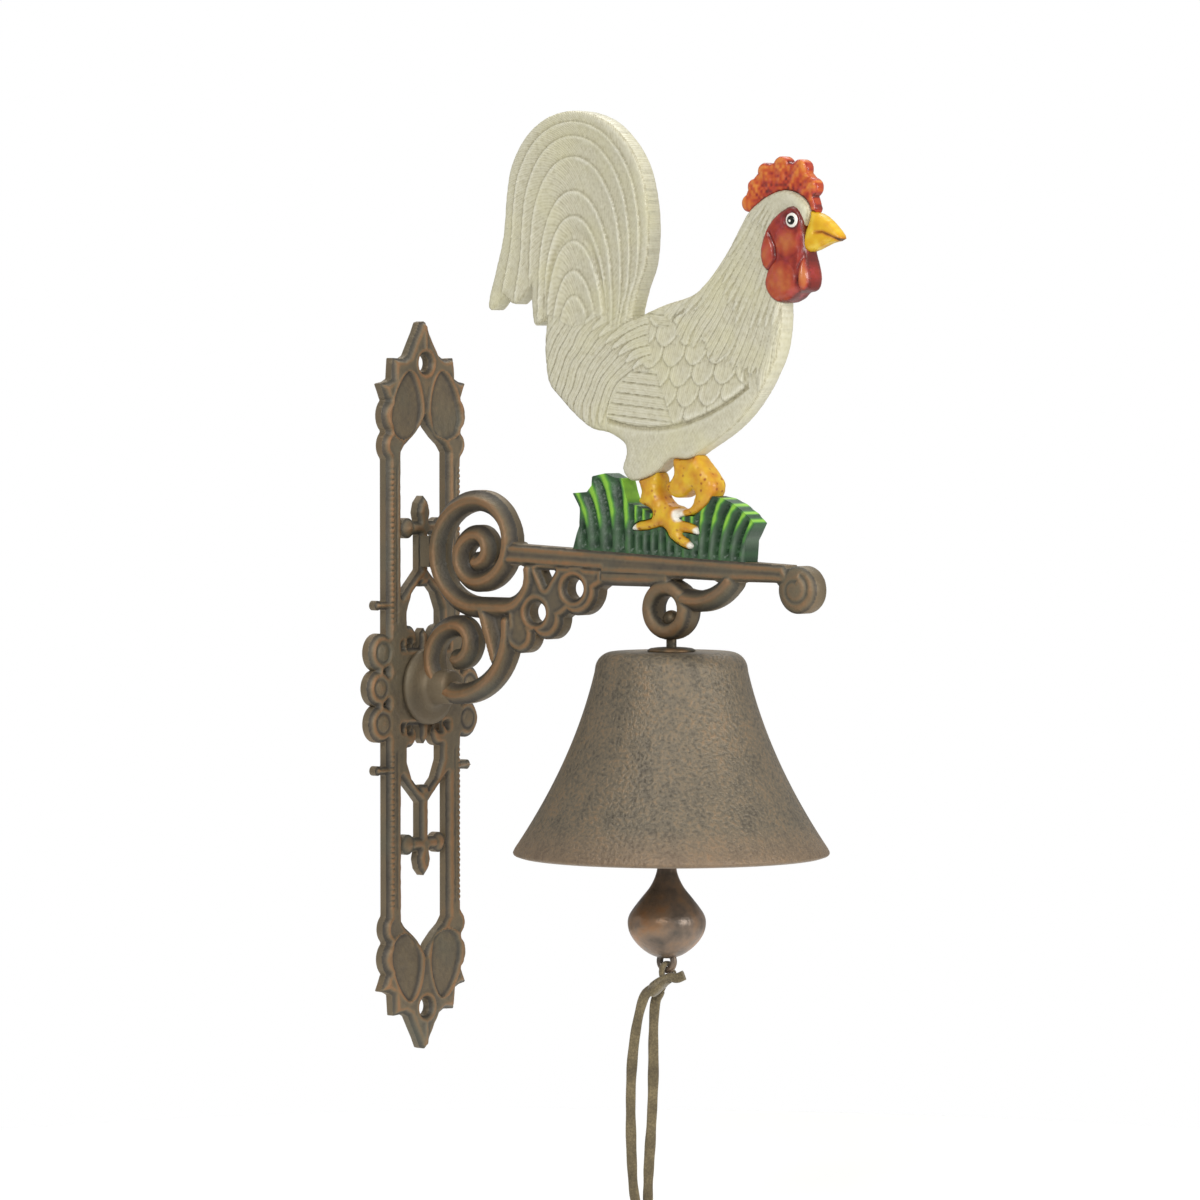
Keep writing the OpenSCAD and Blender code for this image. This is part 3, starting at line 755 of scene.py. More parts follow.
def flat_painted(name, node, level, half_of, paint, marks, step=0.6, whole=True, web=None):
    """A painted part of the figure, over the outline of its CAD node and alike on both faces.
    Where it isn't whole, the holes inside its tallest outline are filled. A web, given as a depth
    inside it, is joined to the outline."""
    loops = cad_loops(node, 1, level)
    if not whole:
        loops = [max(loops, key=lambda loop: max(p[1] for p in loop) - min(p[1] for p in loop))]
    corners = [point for loop in loops for point in loop]
    low = [min(c[i] for c in corners) for i in (0, 1)]
    high = [max(c[i] for c in corners) for i in (0, 1)]
    piece = cast_relief(
        name, lambda x, z: np.maximum(depth_in(x, z, loops), web(x, z) if web else -1e6),
        lambda x, z, d: -half_of(x, z, d), half_of, low, high, step, in_arm, marks)
    piece.data.materials.append(paint)
    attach(piece, "frame")
    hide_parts(node)
    return piece


flat_painted("grass_blades", "grass_tuft", GRASS_HALF, grass_half, grass_paint(),
             {"tint": grass_tint, "grey": grass_grey})


# ------------------------------------------------------------------ rooster's legs
# The standing leg with its spread toes and the raised leg are cast solid and rounded, then
# painted yolk yellow with brown flecks for the scales and bone white on the claws.

LEG_HALF = 6.5
CLAWS = [(164.5, 71.7), (161.5, 65.6), (128, 73), (153.5, 79.6)]


def leg_half(x, z, depth):
    swell = np.sqrt(np.clip(1 - (1 - np.clip(depth / 4.6, 0, 1)) ** 2, 0, 1))
    return 2.6 + 3.7 * swell + 0.25 * grain(x, z, 1.6, 11)


def claw_tint(x, z, depth):
    """1 on the claws and 0 on the skin."""
    away = np.min([np.hypot(x - cx, z - cz) for cx, cz in CLAWS], axis=0)
    return ease((3.6 - away) / 1.4)


def leg_paint():
    """Yellow enamel flecked with brown by the tip of a brush: semi-gloss, more orange in some patches than
    others.
    """
    material, tree, shader, place = blank_finish("brushed_yellow_enamel", Roughness=0.38)
    patch = add(tree, "ShaderNodeTexNoise", {"Scale": 1 / 0.006, "Detail": 3.0}, {"Vector": place})
    hue = add(tree, "ShaderNodeValToRGB", {}, {"Fac": patch.outputs["Fac"]},
              stops=[(0.32, "#c98622"), (0.68, "#dfb930"), (0.5, "#d6a228")])
    fleck = add(tree, "ShaderNodeTexVoronoi", {"Scale": 1 / 0.0030}, {"Vector": place})
    spot = add(tree, "ShaderNodeMapRange", {1: 0.12, 2: 0.3, 3: 0.9, 4: 0.0},
               {0: fleck.outputs["Distance"]})
    flecked = add(tree, "ShaderNodeMix", {7: linear("#9a4e18")},
                  {0: spot.outputs[0], 6: hue.outputs["Color"]}, data_type="RGBA")
    claw = add(tree, "ShaderNodeAttribute", attribute_name="tint")
    blend = add(tree, "ShaderNodeMix", {7: linear("#f3eee0")},
                {0: claw.outputs["Fac"], 6: flecked.outputs[2]}, data_type="RGBA")
    tree.links.new(blend.outputs[2], shader.inputs["Base Color"])
    lift = add(tree, "ShaderNodeBump", {"Strength": 0.35, "Distance": 0.0004},
               {"Height": patch.outputs["Fac"]})
    tree.links.new(lift.outputs["Normal"], shader.inputs["Normal"])
    return material


flat_painted("rooster_leg_casting", "rooster_legs", LEG_HALF, leg_half, leg_paint(),
             {"tint": claw_tint})


# ------------------------------------------------------------------ rooster's body
# One flat casting with both faces modelled: arched tail feathers, long saddle and neck
# hackles, rows of rounded wing feathers and a smooth breast. It is painted cream, with a
# thin brown wash wiped off again so that it stays in the grooves.

BODY_HALF = 6.0
TAIL_EDGE = [(40, 120), (45.6, 172.6), (49.5, 186), (54.3, 203), (56, 220), (59, 234), (67.5, 247),
             (80, 255), (96, 257.3), (112, 253), (123.5, 244), (131, 233.5), (135, 221.5),
             (137, 206), (135.5, 189), (131, 178), (128, 160), (126, 120)]
# Each arch of tail feathers: how far its top lies under the outermost, and its width beside it
TAIL_ARCHES = [(0, 1.0), (4.6, 0.885), (10.8, 0.755), (20, 0.64), (35, 0.52), (46, 0.45),
               (57, 0.41), (70, 0.35), (81, 0.3)]
TAIL_MIDDLE = 96
tail_outer = [tuple(p) for p in curve_through(TAIL_EDGE, 4)]
DARK_ARCH = 6
SADDLE_X, SADDLE_Z = 154, 125
NECK_X, NECK_Z, NECK_REACH = 238, 263, 134


def feathers(across, along, wide, long, tip):
    """Rows of overlapping feathers, each row half a feather aside. Gives a height from 0, where
    a feather comes out from under the row before, to 1 at its rounded tip, less a groove at its
    sides, and how far across its feather a point lies."""
    height = np.zeros(np.shape(across))
    aside = np.zeros(np.shape(across))
    for back in (1, 0, -1):
        row = np.floor(along / long) + back
        place = across / wide + 0.5 * (row % 2)
        f = place % 1
        end = (row + 1) * long + tip * (0.5 - (2 * f - 1) ** 2)
        on = along < end
        t = np.clip(1 - (end - along) / long, 0, 1)
        edge = (0.5 - np.abs(f - 0.5)) * wide
        rise = (0.25 + 0.75 * t) * ease(np.minimum(end - along, edge * 1.5) / 0.8 + 0.2)
        height = np.where(on, rise - 0.2 * np.exp(-(edge / 0.6) ** 2), height)
        aside = np.where(on, (f - 0.5) * wide, aside)
    return height, aside


def body_form(x, z):
    """Half thickness in mm of the modelled body, before its rim is rounded, and the barb: a
    distance in mm that runs across the fine strokes of each feather."""
    # breast, belly and thigh
    level = 5.1 + 0.12 * grain(x, z, 6, 12)
    barb = 1.3 * x + 0.5 * z

    # neck hackle, fanned from above the beak
    reach = np.hypot(x - NECK_X, z - NECK_Z)
    turn = np.degrees(np.arctan2(NECK_Z - z, NECK_X - x))
    fan = turn * NECK_REACH / 57.3 + 1.2 * grain(x, z, 11, 13)
    rise, aside = feathers(fan, reach + 16 * grain(fan, 0 * fan, 5, 14), 4.6, 34, 16)
    ends = NECK_REACH + 6 * grain(fan, 0 * fan, 4.6, 22) - 5 * np.abs((fan / 4.6) % 1 - 0.5) * 2
    on_neck = (x > 146) & (z > 120) & (reach < ends)
    bare = ease((66 - reach) / 8)
    level = np.where(on_neck, 5.3 + 0.75 * (rise * (1 - bare) + 0.55 * bare), level)
    barb = np.where(on_neck, aside, barb)

    # wing: rounded feathers above, long ones behind and below, over a dark lower edge
    away = np.hypot(x - SADDLE_X, z - SADDLE_Z)
    bearing = np.degrees(np.arctan2(z - SADDLE_Z, x - SADDLE_X)) % 360
    bearing = np.where(bearing > 270, 0, bearing)
    swirl = away - 0.22 * (bearing - 114)
    wing_foot = 118 + 16 * ((x - 138) / 50) ** 2
    on_wing = ((swirl < 24) | (x > 137.5 + 0.1 * (162 - z))) & (z > wing_foot) & ~on_neck
    on_wing &= (x < 190) & (z < 164 + 3 * np.sin(x / 3))
    rise, aside = feathers(x - 0.25 * z, 166 - z + 0.05 * x, 12, 9, 5)
    long_rise, long_aside = feathers(z + 0.1 * x, 156 - x, 5, 60, 4)
    rear = (x < 144 - 0.4 * (z - 136)) & (z < 142)
    rise = np.where(rear, long_rise, rise)
    aside = np.where(rear, long_aside, aside)
    level = np.where(on_wing, 5.2 + 1.1 * rise, level)
    barb = np.where(on_wing, aside, barb)
    under = (x > 112) & (x < 192) & ~on_neck
    level -= np.where(under, 1.5 * np.exp(-((z - wing_foot + 0.6) / 1.3) ** 2), 0)

    # saddle hackle, swirling down from the back to the rear edge
    on_saddle = (swirl > 24) & (bearing > 95) & (bearing < 215) & ~on_neck & ~on_wing & (x < 150)
    rise, aside = feathers(swirl + 0.9 * grain(x, z, 8, 15), bearing * 0.75, 4.6, 34, 12)
    level = np.where(on_saddle, 5.2 + 1.1 * rise, level)
    barb = np.where(on_saddle, aside, barb)

    # tail: each arch of feathers comes out from under the next
    into_tail = ease((z - 158 - 2.5 * np.sin(x / 4)) / 13) * (x < 146)
    tail_level, tail_barb = level, barb
    for number, (drop, width) in enumerate(TAIL_ARCHES):
        tx = TAIL_MIDDLE + (x - TAIL_MIDDLE) / width
        tz = z + drop
        deep = depth_in(tx, tz, [tail_outer]) * min(1, 1.1 * width)
        ridge = 4.7 + 1.2 * np.exp(-np.maximum(deep - 0.5, 0) / 2.4) * ease(deep / 0.9 + 0.25)
        if number == DARK_ARCH:
            tail_level = tail_level - 0.9 * np.exp(-((deep + 1.6) / 1.2) ** 2)
        tail_level = np.where(deep > 0, ridge, tail_level)
        run = np.degrees(np.arctan2(tz - 206, tx - TAIL_MIDDLE)) / 57.3 * 38 * width
        tail_barb = np.where(deep > 0, 1.1 * run + 0.9 * deep, tail_barb)
    return level + (tail_level - level) * into_tail, np.where(into_tail > 0.5, tail_barb, barb)


def body_half(x, z, depth):
    level, barb = body_form(x, z)
    rim = np.sqrt(np.clip(1 - (1 - np.clip(depth / 4.6, 0, 1)) ** 2, 0, 1))
    stroke = 0.06 * np.sin(barb * 2 * math.pi / 2.3)
    return 3.6 + (level - 3.6) * rim + stroke * rim + 0.1 * grain(x, z, 1.9, 16)


def cream_enamel():
    """Cream enamel with a brown wash left in the grooves: satin, a little uneven from the brush.
    The fine barbs are drawn 1.1 mm apart, coarser than modelled ones would be, so they show."""
    material, tree, shader, place = blank_finish("washed_cream_enamel", Roughness=0.45)
    shader.inputs["Coat Weight"].default_value = 0.12
    worn = add(tree, "ShaderNodeAttribute", attribute_name="wear")
    barb = add(tree, "ShaderNodeAttribute", attribute_name="barb")
    phase = add(tree, "ShaderNodeMath", {1: 2 * math.pi / 1.1}, {0: barb.outputs["Fac"]},
                operation="MULTIPLY")
    stroke = add(tree, "ShaderNodeMath", {}, {0: phase.outputs[0]}, operation="SINE")
    brush = add(tree, "ShaderNodeTexNoise", {"Scale": 1 / 0.0016, "Detail": 4.0}, {"Vector": place})
    patch = add(tree, "ShaderNodeTexNoise", {"Scale": 1 / 0.02, "Detail": 3.0}, {"Vector": place})
    first = add(tree, "ShaderNodeMath", {1: 0.22, 2: 0.5}, {0: worn.outputs["Fac"]},
                operation="MULTIPLY_ADD")
    second = add(tree, "ShaderNodeMath", {1: 0.05}, {0: stroke.outputs[0], 2: first.outputs[0]},
                 operation="MULTIPLY_ADD")
    uneven = add(tree, "ShaderNodeMath", {1: 0.5, 2: -0.25}, {0: brush.outputs["Fac"]},
                 operation="MULTIPLY_ADD")
    level = add(tree, "ShaderNodeMath", {}, {0: second.outputs[0], 1: uneven.outputs[0]},
                operation="ADD")
    hue = add(tree, "ShaderNodeValToRGB", {}, {"Fac": level.outputs[0]},
              stops=[(0.08, "#948c70"), (0.92, "#ebe8d6"), (0.3, "#b6af92"), (0.5, "#cfcab0"),
                     (0.68, "#dad6c0")])
    yellow = add(tree, "ShaderNodeMapRange", {1: 0.46, 2: 0.68, 3: 0.0, 4: 0.4},
                 {0: patch.outputs["Fac"]})
    blend = add(tree, "ShaderNodeMix", {7: linear("#d8d3a8")},
                {0: yellow.outputs[0], 6: hue.outputs["Color"]}, data_type="RGBA")
    tree.links.new(blend.outputs[2], shader.inputs["Base Color"])
    both = add(tree, "ShaderNodeMath", {1: 0.35}, {0: stroke.outputs[0], 2: brush.outputs["Fac"]},
               operation="MULTIPLY_ADD")
    lift = add(tree, "ShaderNodeBump", {"Strength": 0.45, "Distance": 0.0004},
               {"Height": both.outputs[0]})
    tree.links.new(lift.outputs["Normal"], shader.inputs["Normal"])
    return material


flat_painted("rooster_body_casting", "rooster_body", BODY_HALF, body_half, cream_enamel(),
             {"barb": lambda x, z, d: body_form(x, z)[1]}, step=0.58)


# ------------------------------------------------------------------ rooster's comb
# A thin crest cast with the head, with six blunt points and grooves that run up between
# them, painted red and brushed over with orange at the points.

COMB_HALF = 3.5
COMB_X, COMB_Z = 208, 212
# Bearings of the six points as seen from the middle of the head
COMB_POINTS = [172, 147, 120, 91, 61, 31]


def comb_ridge(x, z):
    """1 along the middle of a comb point and -1 in the groove beside it."""
    turn = np.degrees(np.arctan2(z - COMB_Z, x - COMB_X)) % 360
    nearest = np.min([np.abs(turn - p) for p in COMB_POINTS], axis=0)
    return np.cos(np.clip(nearest / 13.5, 0, 1) * math.pi)


def comb_web(x, z):
    """How deep a point lies in the skin that joins the comb's points, short of their tips."""
    out = np.hypot(x - COMB_X, z - COMB_Z)
    turn = np.degrees(np.arctan2(z - COMB_Z, x - COMB_X)) % 360
    return np.minimum.reduce([20.4 - out, out - 13, (turn - 30) / 57.3 * out, (172 - turn) / 57.3 * out])


def comb_half(x, z, depth):
    out = np.hypot(x - COMB_X, z - COMB_Z)
    rim = np.sqrt(np.clip(1 - (1 - np.clip(depth / 2.2, 0, 1)) ** 2, 0, 1))
    swell = 0.3 * comb_ridge(x, z) * ease((out - 8) / 6)
    return 1.9 + 1.35 * rim + swell * rim + 0.16 * grain(x, z, 1.3, 17)


def comb_tint(x, z, depth):
    """0 deep red beside the head, 1 orange at the points."""
    out = np.hypot(x - COMB_X, z - COMB_Z)
    return np.clip(0.3 + 0.42 * ease((out - 10) / 11) + 0.1 * comb_ridge(x, z)
                   + 0.34 * grain(x, z, 1.3, 18)
                   - 0.25 * ease((1.2 - depth) / 1.2), 0, 1)


def red_enamel(name, stops):
    """Red enamel brushed wet into wet with orange and pink: glossy and streaky, darker in grooves."""
    material, tree, shader, place = blank_finish(name, Roughness=0.36)
    shader.inputs["Coat Weight"].default_value = 0.2
    tint = add(tree, "ShaderNodeAttribute", attribute_name="tint")
    worn = add(tree, "ShaderNodeAttribute", attribute_name="wear")
    level = add(tree, "ShaderNodeMath", {1: 0.22}, {0: worn.outputs["Fac"], 2: tint.outputs["Fac"]},
                operation="MULTIPLY_ADD")
    hue = add(tree, "ShaderNodeValToRGB", {}, {"Fac": level.outputs[0]}, stops=stops)
    patch = add(tree, "ShaderNodeTexNoise", {"Scale": 1 / 0.005, "Detail": 3.0}, {"Vector": place})
    pink = add(tree, "ShaderNodeMapRange", {1: 0.54, 2: 0.7, 3: 0.0, 4: 0.4},
               {0: patch.outputs["Fac"]})
    blend = add(tree, "ShaderNodeMix", {7: linear("#b43e48")},
                {0: pink.outputs[0], 6: hue.outputs["Color"]}, data_type="RGBA")
    tree.links.new(blend.outputs[2], shader.inputs["Base Color"])
    brush = add(tree, "ShaderNodeTexNoise", {"Scale": 1 / 0.001, "Detail": 3.0}, {"Vector": place})
    lift = add(tree, "ShaderNodeBump", {"Strength": 0.3, "Distance": 0.0003},
               {"Height": brush.outputs["Fac"]})
    tree.links.new(lift.outputs["Normal"], shader.inputs["Normal"])
    return material


comb_paint = red_enamel("red_orange_comb_enamel", [
    (0.05, "#6c2418"), (0.95, "#dc8434"), (0.3, "#ae3620"), (0.6, "#c85a22")])
flat_painted("rooster_comb_casting", "rooster_comb", COMB_HALF, comb_half, comb_paint,
             {"tint": comb_tint}, step=0.4, web=comb_web)


# ------------------------------------------------------------------ rooster's face
# A raised skin on both cheeks, with the ear lobe and the two wattles modelled in it and a
# white eye with a dark pupil set on it, and on the pupil a white dot that is a painted glint.
# It is painted red, lighter on the cheek and wattles.

FACE_HALF = 8.0
EYE = (216.6, 207)
LOBE_CREASE = [(203.8, 202), (207, 196), (207.6, 190.8), (203, 185.4)]
WATTLE_CREASE = [(222, 195), (220.4, 188), (219.4, 181), (219.2, 175)]
# Domes of the cheek, the ear lobe and both wattles: middle x and z, half width, half height, rise
DOMES = [(214, 198, 6.5, 7, 0.5), (203.2, 193, 3.4, 7, 0.6), (210.4, 181, 8.4, 9, 1.1),
         (222, 183.5, 2.8, 7, 0.8)]
body_loops = cad_loops("rooster_body", 1, BODY_HALF)


def crease_away(x, z, points):
    """Distance in mm from a line drawn through the points."""
    return np.min([line_away(x, z, *a, *b) for a, b in zip(points, points[1:])], axis=0)


def face_half(x, z, depth):
    # the skin's edge stands on the head but hangs thin and rounded where it is free
    free = 1 - ease((depth_in(x, z, body_loops) + 1.5) / 3)
    rim = np.sqrt(np.clip(1 - (1 - np.clip(depth / (1.8 + 2.4 * free), 0, 1)) ** 2, 0, 1))
    level = FACE_HALF - 1.1 + 0 * x
    for cx, cz, wide, high, rise in DOMES:
        level += rise * np.maximum(0, 1 - ((x - cx) / wide) ** 2 - ((z - cz) / high) ** 2) ** 0.6
    for crease in (LOBE_CREASE, WATTLE_CREASE):
        level -= 0.9 * np.exp(-(crease_away(x, z, crease) / 0.8) ** 2)
    from_eye = np.hypot(x - EYE[0], z - EYE[1])
    level += 0.5 * np.exp(-((from_eye - 4.6) / 0.8) ** 2)
    edge = 5.4 - 2.8 * free
    return edge + (level - edge) * rim + 0.1 * grain(x, z, 1.4, 19)


def face_tint(x, z, depth):
    """0 dark red in the creases and round the eye, 1 orange on the cheek and wattles."""
    tint = 0.3 + 0.15 * grain(x, z, 2.4, 20)
    for cx, cz, wide, high, rise in DOMES:
        tint = tint + 0.6 * np.maximum(0, 1 - ((x - cx) / wide) ** 2 - ((z - cz) / high) ** 2)
    from_eye = np.hypot(x - EYE[0], z - EYE[1])
    tint = tint - 0.3 * np.exp(-((from_eye - 3.6) / 2.2) ** 2)
    return np.clip(tint - 0.3 * ease((1 - depth) / 1), 0, 1)


face_paint = red_enamel("red_skin_enamel", [
    (0.02, "#641a12"), (0.98, "#c06e38"), (0.3, "#92281c"), (0.6, "#ac4424")])
flat_painted("rooster_face_casting", "rooster_face", FACE_HALF, face_half, face_paint,
             {"tint": face_tint}, step=0.4, whole=False)


def eye_enamel(name, hex_code):
    """A dot of gloss enamel put on with a fine brush, rounded and wet looking."""
    material, tree, shader, place = blank_finish(name, Roughness=0.18)
    specks = add(tree, "ShaderNodeTexNoise", {"Scale": 1 / 0.0009, "Detail": 2.0}, {"Vector": place})
    shade = add(tree, "ShaderNodeMix", {6: linear(hex_code), 7: linear("#8a8268")},
                {}, data_type="RGBA")
    little = add(tree, "ShaderNodeMapRange", {1: 0.55, 2: 0.8, 3: 0.0, 4: 0.25},
                 {0: specks.outputs["Fac"]})
    tree.links.new(little.outputs[0], shade.inputs[0])
    tree.links.new(shade.outputs[2], shader.inputs["Base Color"])
    lift = add(tree, "ShaderNodeBump", {"Strength": 0.15, "Distance": 0.0002},
               {"Height": specks.outputs["Fac"]})
    tree.links.new(lift.outputs["Normal"], shader.inputs["Normal"])
    return material


white_dot = eye_enamel("gloss_white_enamel", "#f2efe4")
black_dot = eye_enamel("gloss_black_enamel", "#10140f")
for side, word in ((-1, "near"), (1, "far")):
    # the third dot, a speck of white on the pupil, is a painted glint that stands in for the lamp's
    # reflection
    for part, dot, radius, base, rise in (("white", white_dot, 3.2, 6.9, 0.9),
                                          ("pupil", black_dot, 2.0, 7.6, 0.6),
                                          ("painted_glint", white_dot, 0.6, 8.1, 0.25)):
        profile = [(0, base), (radius, base)]
        for step in range(1, 9):
            a = math.radians(step * 90 / 8)
            profile.append((radius * math.cos(a), base + rise * math.sin(a)))
        profile[-1] = (0, base + rise)
        # the painted glint sits off the pupil's middle, a little down and toward the tail
        aside = -0.3 if part == "painted_glint" else 0
        piece = turned("rooster_eye_" + part + "_" + word, [(r, side * y) for r, y in profile],
                       foot=(EYE[0] + aside, 0, EYE[1] + aside), axis="Y", sides=40)
        piece.data.materials.append(dot)
        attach(piece, "frame")
        if part == "white":
            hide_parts("rooster_eyes")


# ------------------------------------------------------------------ rooster's beak
# The beak is cast with the head, the upper half overlapping the lower along a curved line,
# and painted yellow, with the mouth line and the tip picked out in brown.

BEAK_HALF = 4.5
MOUTH = [(226, 201.6), (230.5, 201.8), (234.5, 200.2), (239.6, 197.6)]


def beak_half(x, z, depth):
    swell = np.sqrt(np.clip(1 - (1 - np.clip(depth / 4.2, 0, 1)) ** 2, 0, 1))
    level = 1.4 + (3.3 - 0.05 * (x - 218)) * swell
    return level - 0.7 * np.exp(-(crease_away(x, z, MOUTH) / 0.55) ** 2)


def beak_tint(x, z, depth):
    """0 brown on the mouth line and tip, 1 bright yellow on top."""
    mouth = np.exp(-(crease_away(x, z, MOUTH) / 0.75) ** 2) * ease((x - 224) / 6)
    tip = ease((x - 236) / 3) * ease((200.4 - z) / 2)
    return np.clip(0.78 + 0.15 * grain(x, z, 2.5, 21) - 0.6 * mouth - 0.5 * tip, 0, 1)


def beak_paint():
    """Yellow enamel, glossy, with brown brushed into the mouth line."""
    material, tree, shader, place = blank_finish("yellow_beak_enamel", Roughness=0.32)
    tint = add(tree, "ShaderNodeAttribute", attribute_name="tint")
    hue = add(tree, "ShaderNodeValToRGB", {}, {"Fac": tint.outputs["Fac"]},
              stops=[(0.05, "#53310f"), (1.0, "#efd44a"), (0.4, "#c47c1a"), (0.75, "#e0ae1e")])
    tree.links.new(hue.outputs["Color"], shader.inputs["Base Color"])
    brush = add(tree, "ShaderNodeTexNoise", {"Scale": 1 / 0.0014, "Detail": 3.0}, {"Vector": place})
    lift = add(tree, "ShaderNodeBump", {"Strength": 0.25, "Distance": 0.0003},
               {"Height": brush.outputs["Fac"]})
    tree.links.new(lift.outputs["Normal"], shader.inputs["Normal"])
    return material


flat_painted("rooster_beak_casting", "rooster_beak", BEAK_HALF, beak_half, beak_paint(),
             {"tint": beak_tint}, step=0.4)


# ------------------------------------------------------------------ bell
# A bell cast in iron and left as cast, thin and flared to a rounded lip, with the same
# brown patina as the arm but plainer. A thick washer sits on its flat crown.

BELL_X = 146
CROWN_Z = 19.5
LIP_R = 69.5
SHOULDER_Z = CROWN_Z - 8
BELL_WALL = 3.8
ROD_R = 2.25


def flare(drop):
    """How far the bell has widened at a distance under its shoulder, in mm."""
    return 0.23 * drop + 0.0028 * drop * drop


def bell_iron():
    """Bare cast iron with a brown patina: the sand's pits show as fine dimples, and rust has
    run down from the shoulder and stained the lip."""
    material, tree, shader, place = blank_finish("sand_cast_bell_iron", Metallic=0.3, Roughness=0.46)
    pits = add(tree, "ShaderNodeTexNoise", {"Scale": 1 / 0.0016, "Detail": 3.0, "Roughness": 0.55},
               {"Vector": place})
    drawn = add(tree, "ShaderNodeMapping", {"Scale": (1 / 0.007, 1 / 0.007, 1 / 0.035)},
                {"Vector": place})
    runs = add(tree, "ShaderNodeTexNoise", {"Scale": 1.0, "Detail": 4.0}, {"Vector": drawn.outputs[0]})
    patch = add(tree, "ShaderNodeTexNoise", {"Scale": 1 / 0.03, "Detail": 3.0}, {"Vector": place})
    broad = add(tree, "ShaderNodeMath", {1: 0.5}, {0: patch.outputs["Fac"], 2: runs.outputs["Fac"]},
                operation="MULTIPLY_ADD")
    speckled = add(tree, "ShaderNodeMath", {1: 2.0}, {0: pits.outputs["Fac"], 2: broad.outputs[0]},
                   operation="MULTIPLY_ADD")
    mean = add(tree, "ShaderNodeMath", {1: 1 / 3.5}, {0: speckled.outputs[0]}, operation="MULTIPLY")
    hue = add(tree, "ShaderNodeValToRGB", {}, {"Fac": mean.outputs[0]},
              stops=[(0.37, "#544c40"), (0.66, "#877055"), (0.47, "#6c6353"), (0.56, "#7b6d58")])
    height = add(tree, "ShaderNodeSeparateXYZ", {}, {0: place})
    low_band = add(tree, "ShaderNodeMapRange", {1: -0.054, 2: -0.0695, 3: 0.0, 4: 0.4},
                   {0: height.outputs["Z"]})
    blend = add(tree, "ShaderNodeMix", {7: linear("#94775c")},
                {0: low_band.outputs[0], 6: hue.outputs["Color"]}, data_type="RGBA")
    tree.links.new(blend.outputs[2], shader.inputs["Base Color"])
    lift = add(tree, "ShaderNodeBump", {"Strength": 0.8, "Distance": 0.001},
               {"Height": pits.outputs["Fac"]})
    tree.links.new(lift.outputs["Normal"], shader.inputs["Normal"])
    return material


def rounded(cx, cz, r, start, stop, count):
    """Points of an arc about (cx, cz), from one angle to another."""
    return [(cx + r * math.cos(math.radians(start + (stop - start) * i / count)),
             cz + r * math.sin(math.radians(start + (stop - start) * i / count)))
            for i in range(count + 1)]


neck_r = LIP_R - flare(79.5)
bell_profile = [(ROD_R + 0.07, CROWN_Z), (neck_r - 14, CROWN_Z)]
bell_profile += rounded(neck_r - 8, SHOULDER_Z, 8, 90, 8, 12)
bell_profile += [(neck_r + flare(t), SHOULDER_Z - t) for t in np.linspace(1, 78.4, 60)]
bell_profile += rounded(LIP_R - 1.2, SHOULDER_Z - 80.2, 1.2, 20, -80, 6)
bell_profile += [(LIP_R - 2.6, SHOULDER_Z - 81.9)]
bell_profile += [(neck_r + flare(t) - BELL_WALL * 1.1, SHOULDER_Z - t) for t in np.linspace(79.4, 5, 40)]
bell_profile += rounded(neck_r - 9, SHOULDER_Z - 1.6, 5.2, 0, 90, 8)
bell_profile += [(ROD_R + 0.07, SHOULDER_Z + 3.6)]
bell = turned("bell_casting", bell_profile, foot=(BELL_X, 0, 0), sides=160)
work = bmesh.new()
work.from_mesh(bell.data)
bmesh.ops.bridge_loops(work, edges=[e for e in work.edges if e.is_boundary])
bmesh.ops.recalc_face_normals(work, faces=work.faces)
work.to_mesh(bell.data)
work.free()
bell.data.materials.append(bell_iron())
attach(bell, "bell")
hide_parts("bell_shell")


def dark_steel():
    """Plain steel, blackened and gone dull: brown-green where it has weathered."""
    material, tree, shader, place = blank_finish("blackened_steel", Metallic=0.6, Roughness=0.5)
    patch = add(tree, "ShaderNodeTexNoise", {"Scale": 1 / 0.006, "Detail": 4.0}, {"Vector": place})
    hue = add(tree, "ShaderNodeValToRGB", {}, {"Fac": patch.outputs["Fac"]},
              stops=[(0.36, "#443f33"), (0.66, "#7c6246"), (0.5, "#60533f")])
    tree.links.new(hue.outputs["Color"], shader.inputs["Base Color"])
    fine = add(tree, "ShaderNodeTexNoise", {"Scale": 1 / 0.0009, "Detail": 3.0}, {"Vector": place})
    lift = add(tree, "ShaderNodeBump", {"Strength": 0.4, "Distance": 0.0003},
               {"Height": fine.outputs["Fac"]})
    tree.links.new(lift.outputs["Normal"], shader.inputs["Normal"])
    return material


steel = dark_steel()
washer_profile = [(ROD_R + 0.1, 0.02), (10.4, 0.02), (10.6, 0.4), (10.4, 0.9), (9.2, 1.5), (7, 1.8), (4, 2.0),
                  (ROD_R + 0.1, 2.0), (ROD_R + 0.1, 0.02)]
washer = turned("crown_washer_disc", [(r, CROWN_Z + h) for r, h in washer_profile],
                foot=(BELL_X, 0, 0), sides=72)
washer.data.materials.append(steel)
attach(washer, "bell")
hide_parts("crown_washer")


# ------------------------------------------------------------------ hanger
# A steel rod hangs by a ball forged on its top, seated in the arm's ring. A washer and a
# nut under the crown carry the bell on it, and its foot is bent into an eye.

BALL_Z, BALL_R = 33.8, 3.9
EYE_Z, EYE_RING, EYE_WIRE = 2, 4.4, 2.0

rod_profile = rounded(0, BALL_Z, BALL_R, 90, -50, 14)
rod_profile[0] = (0, BALL_Z + BALL_R)
rod_profile += [(ROD_R, 29.4), (ROD_R, 22), (ROD_R, 10), (ROD_R, EYE_Z + 4.2), (0, EYE_Z + 4.2)]
rod = turned("hanger_shank", rod_profile, foot=(BELL_X, 0, 0), sides=48)


def ring_line(middle, radius, plane, count=48):
    """Points round a ring about a middle point, in the plane of two axes."""
    line = []
    for k in range(count):
        a = 2 * math.pi * k / count
        spot = list(middle)
        spot[plane[0]] += radius * math.cos(a)
        spot[plane[1]] += radius * math.sin(a)
        line.append(spot)
    return line


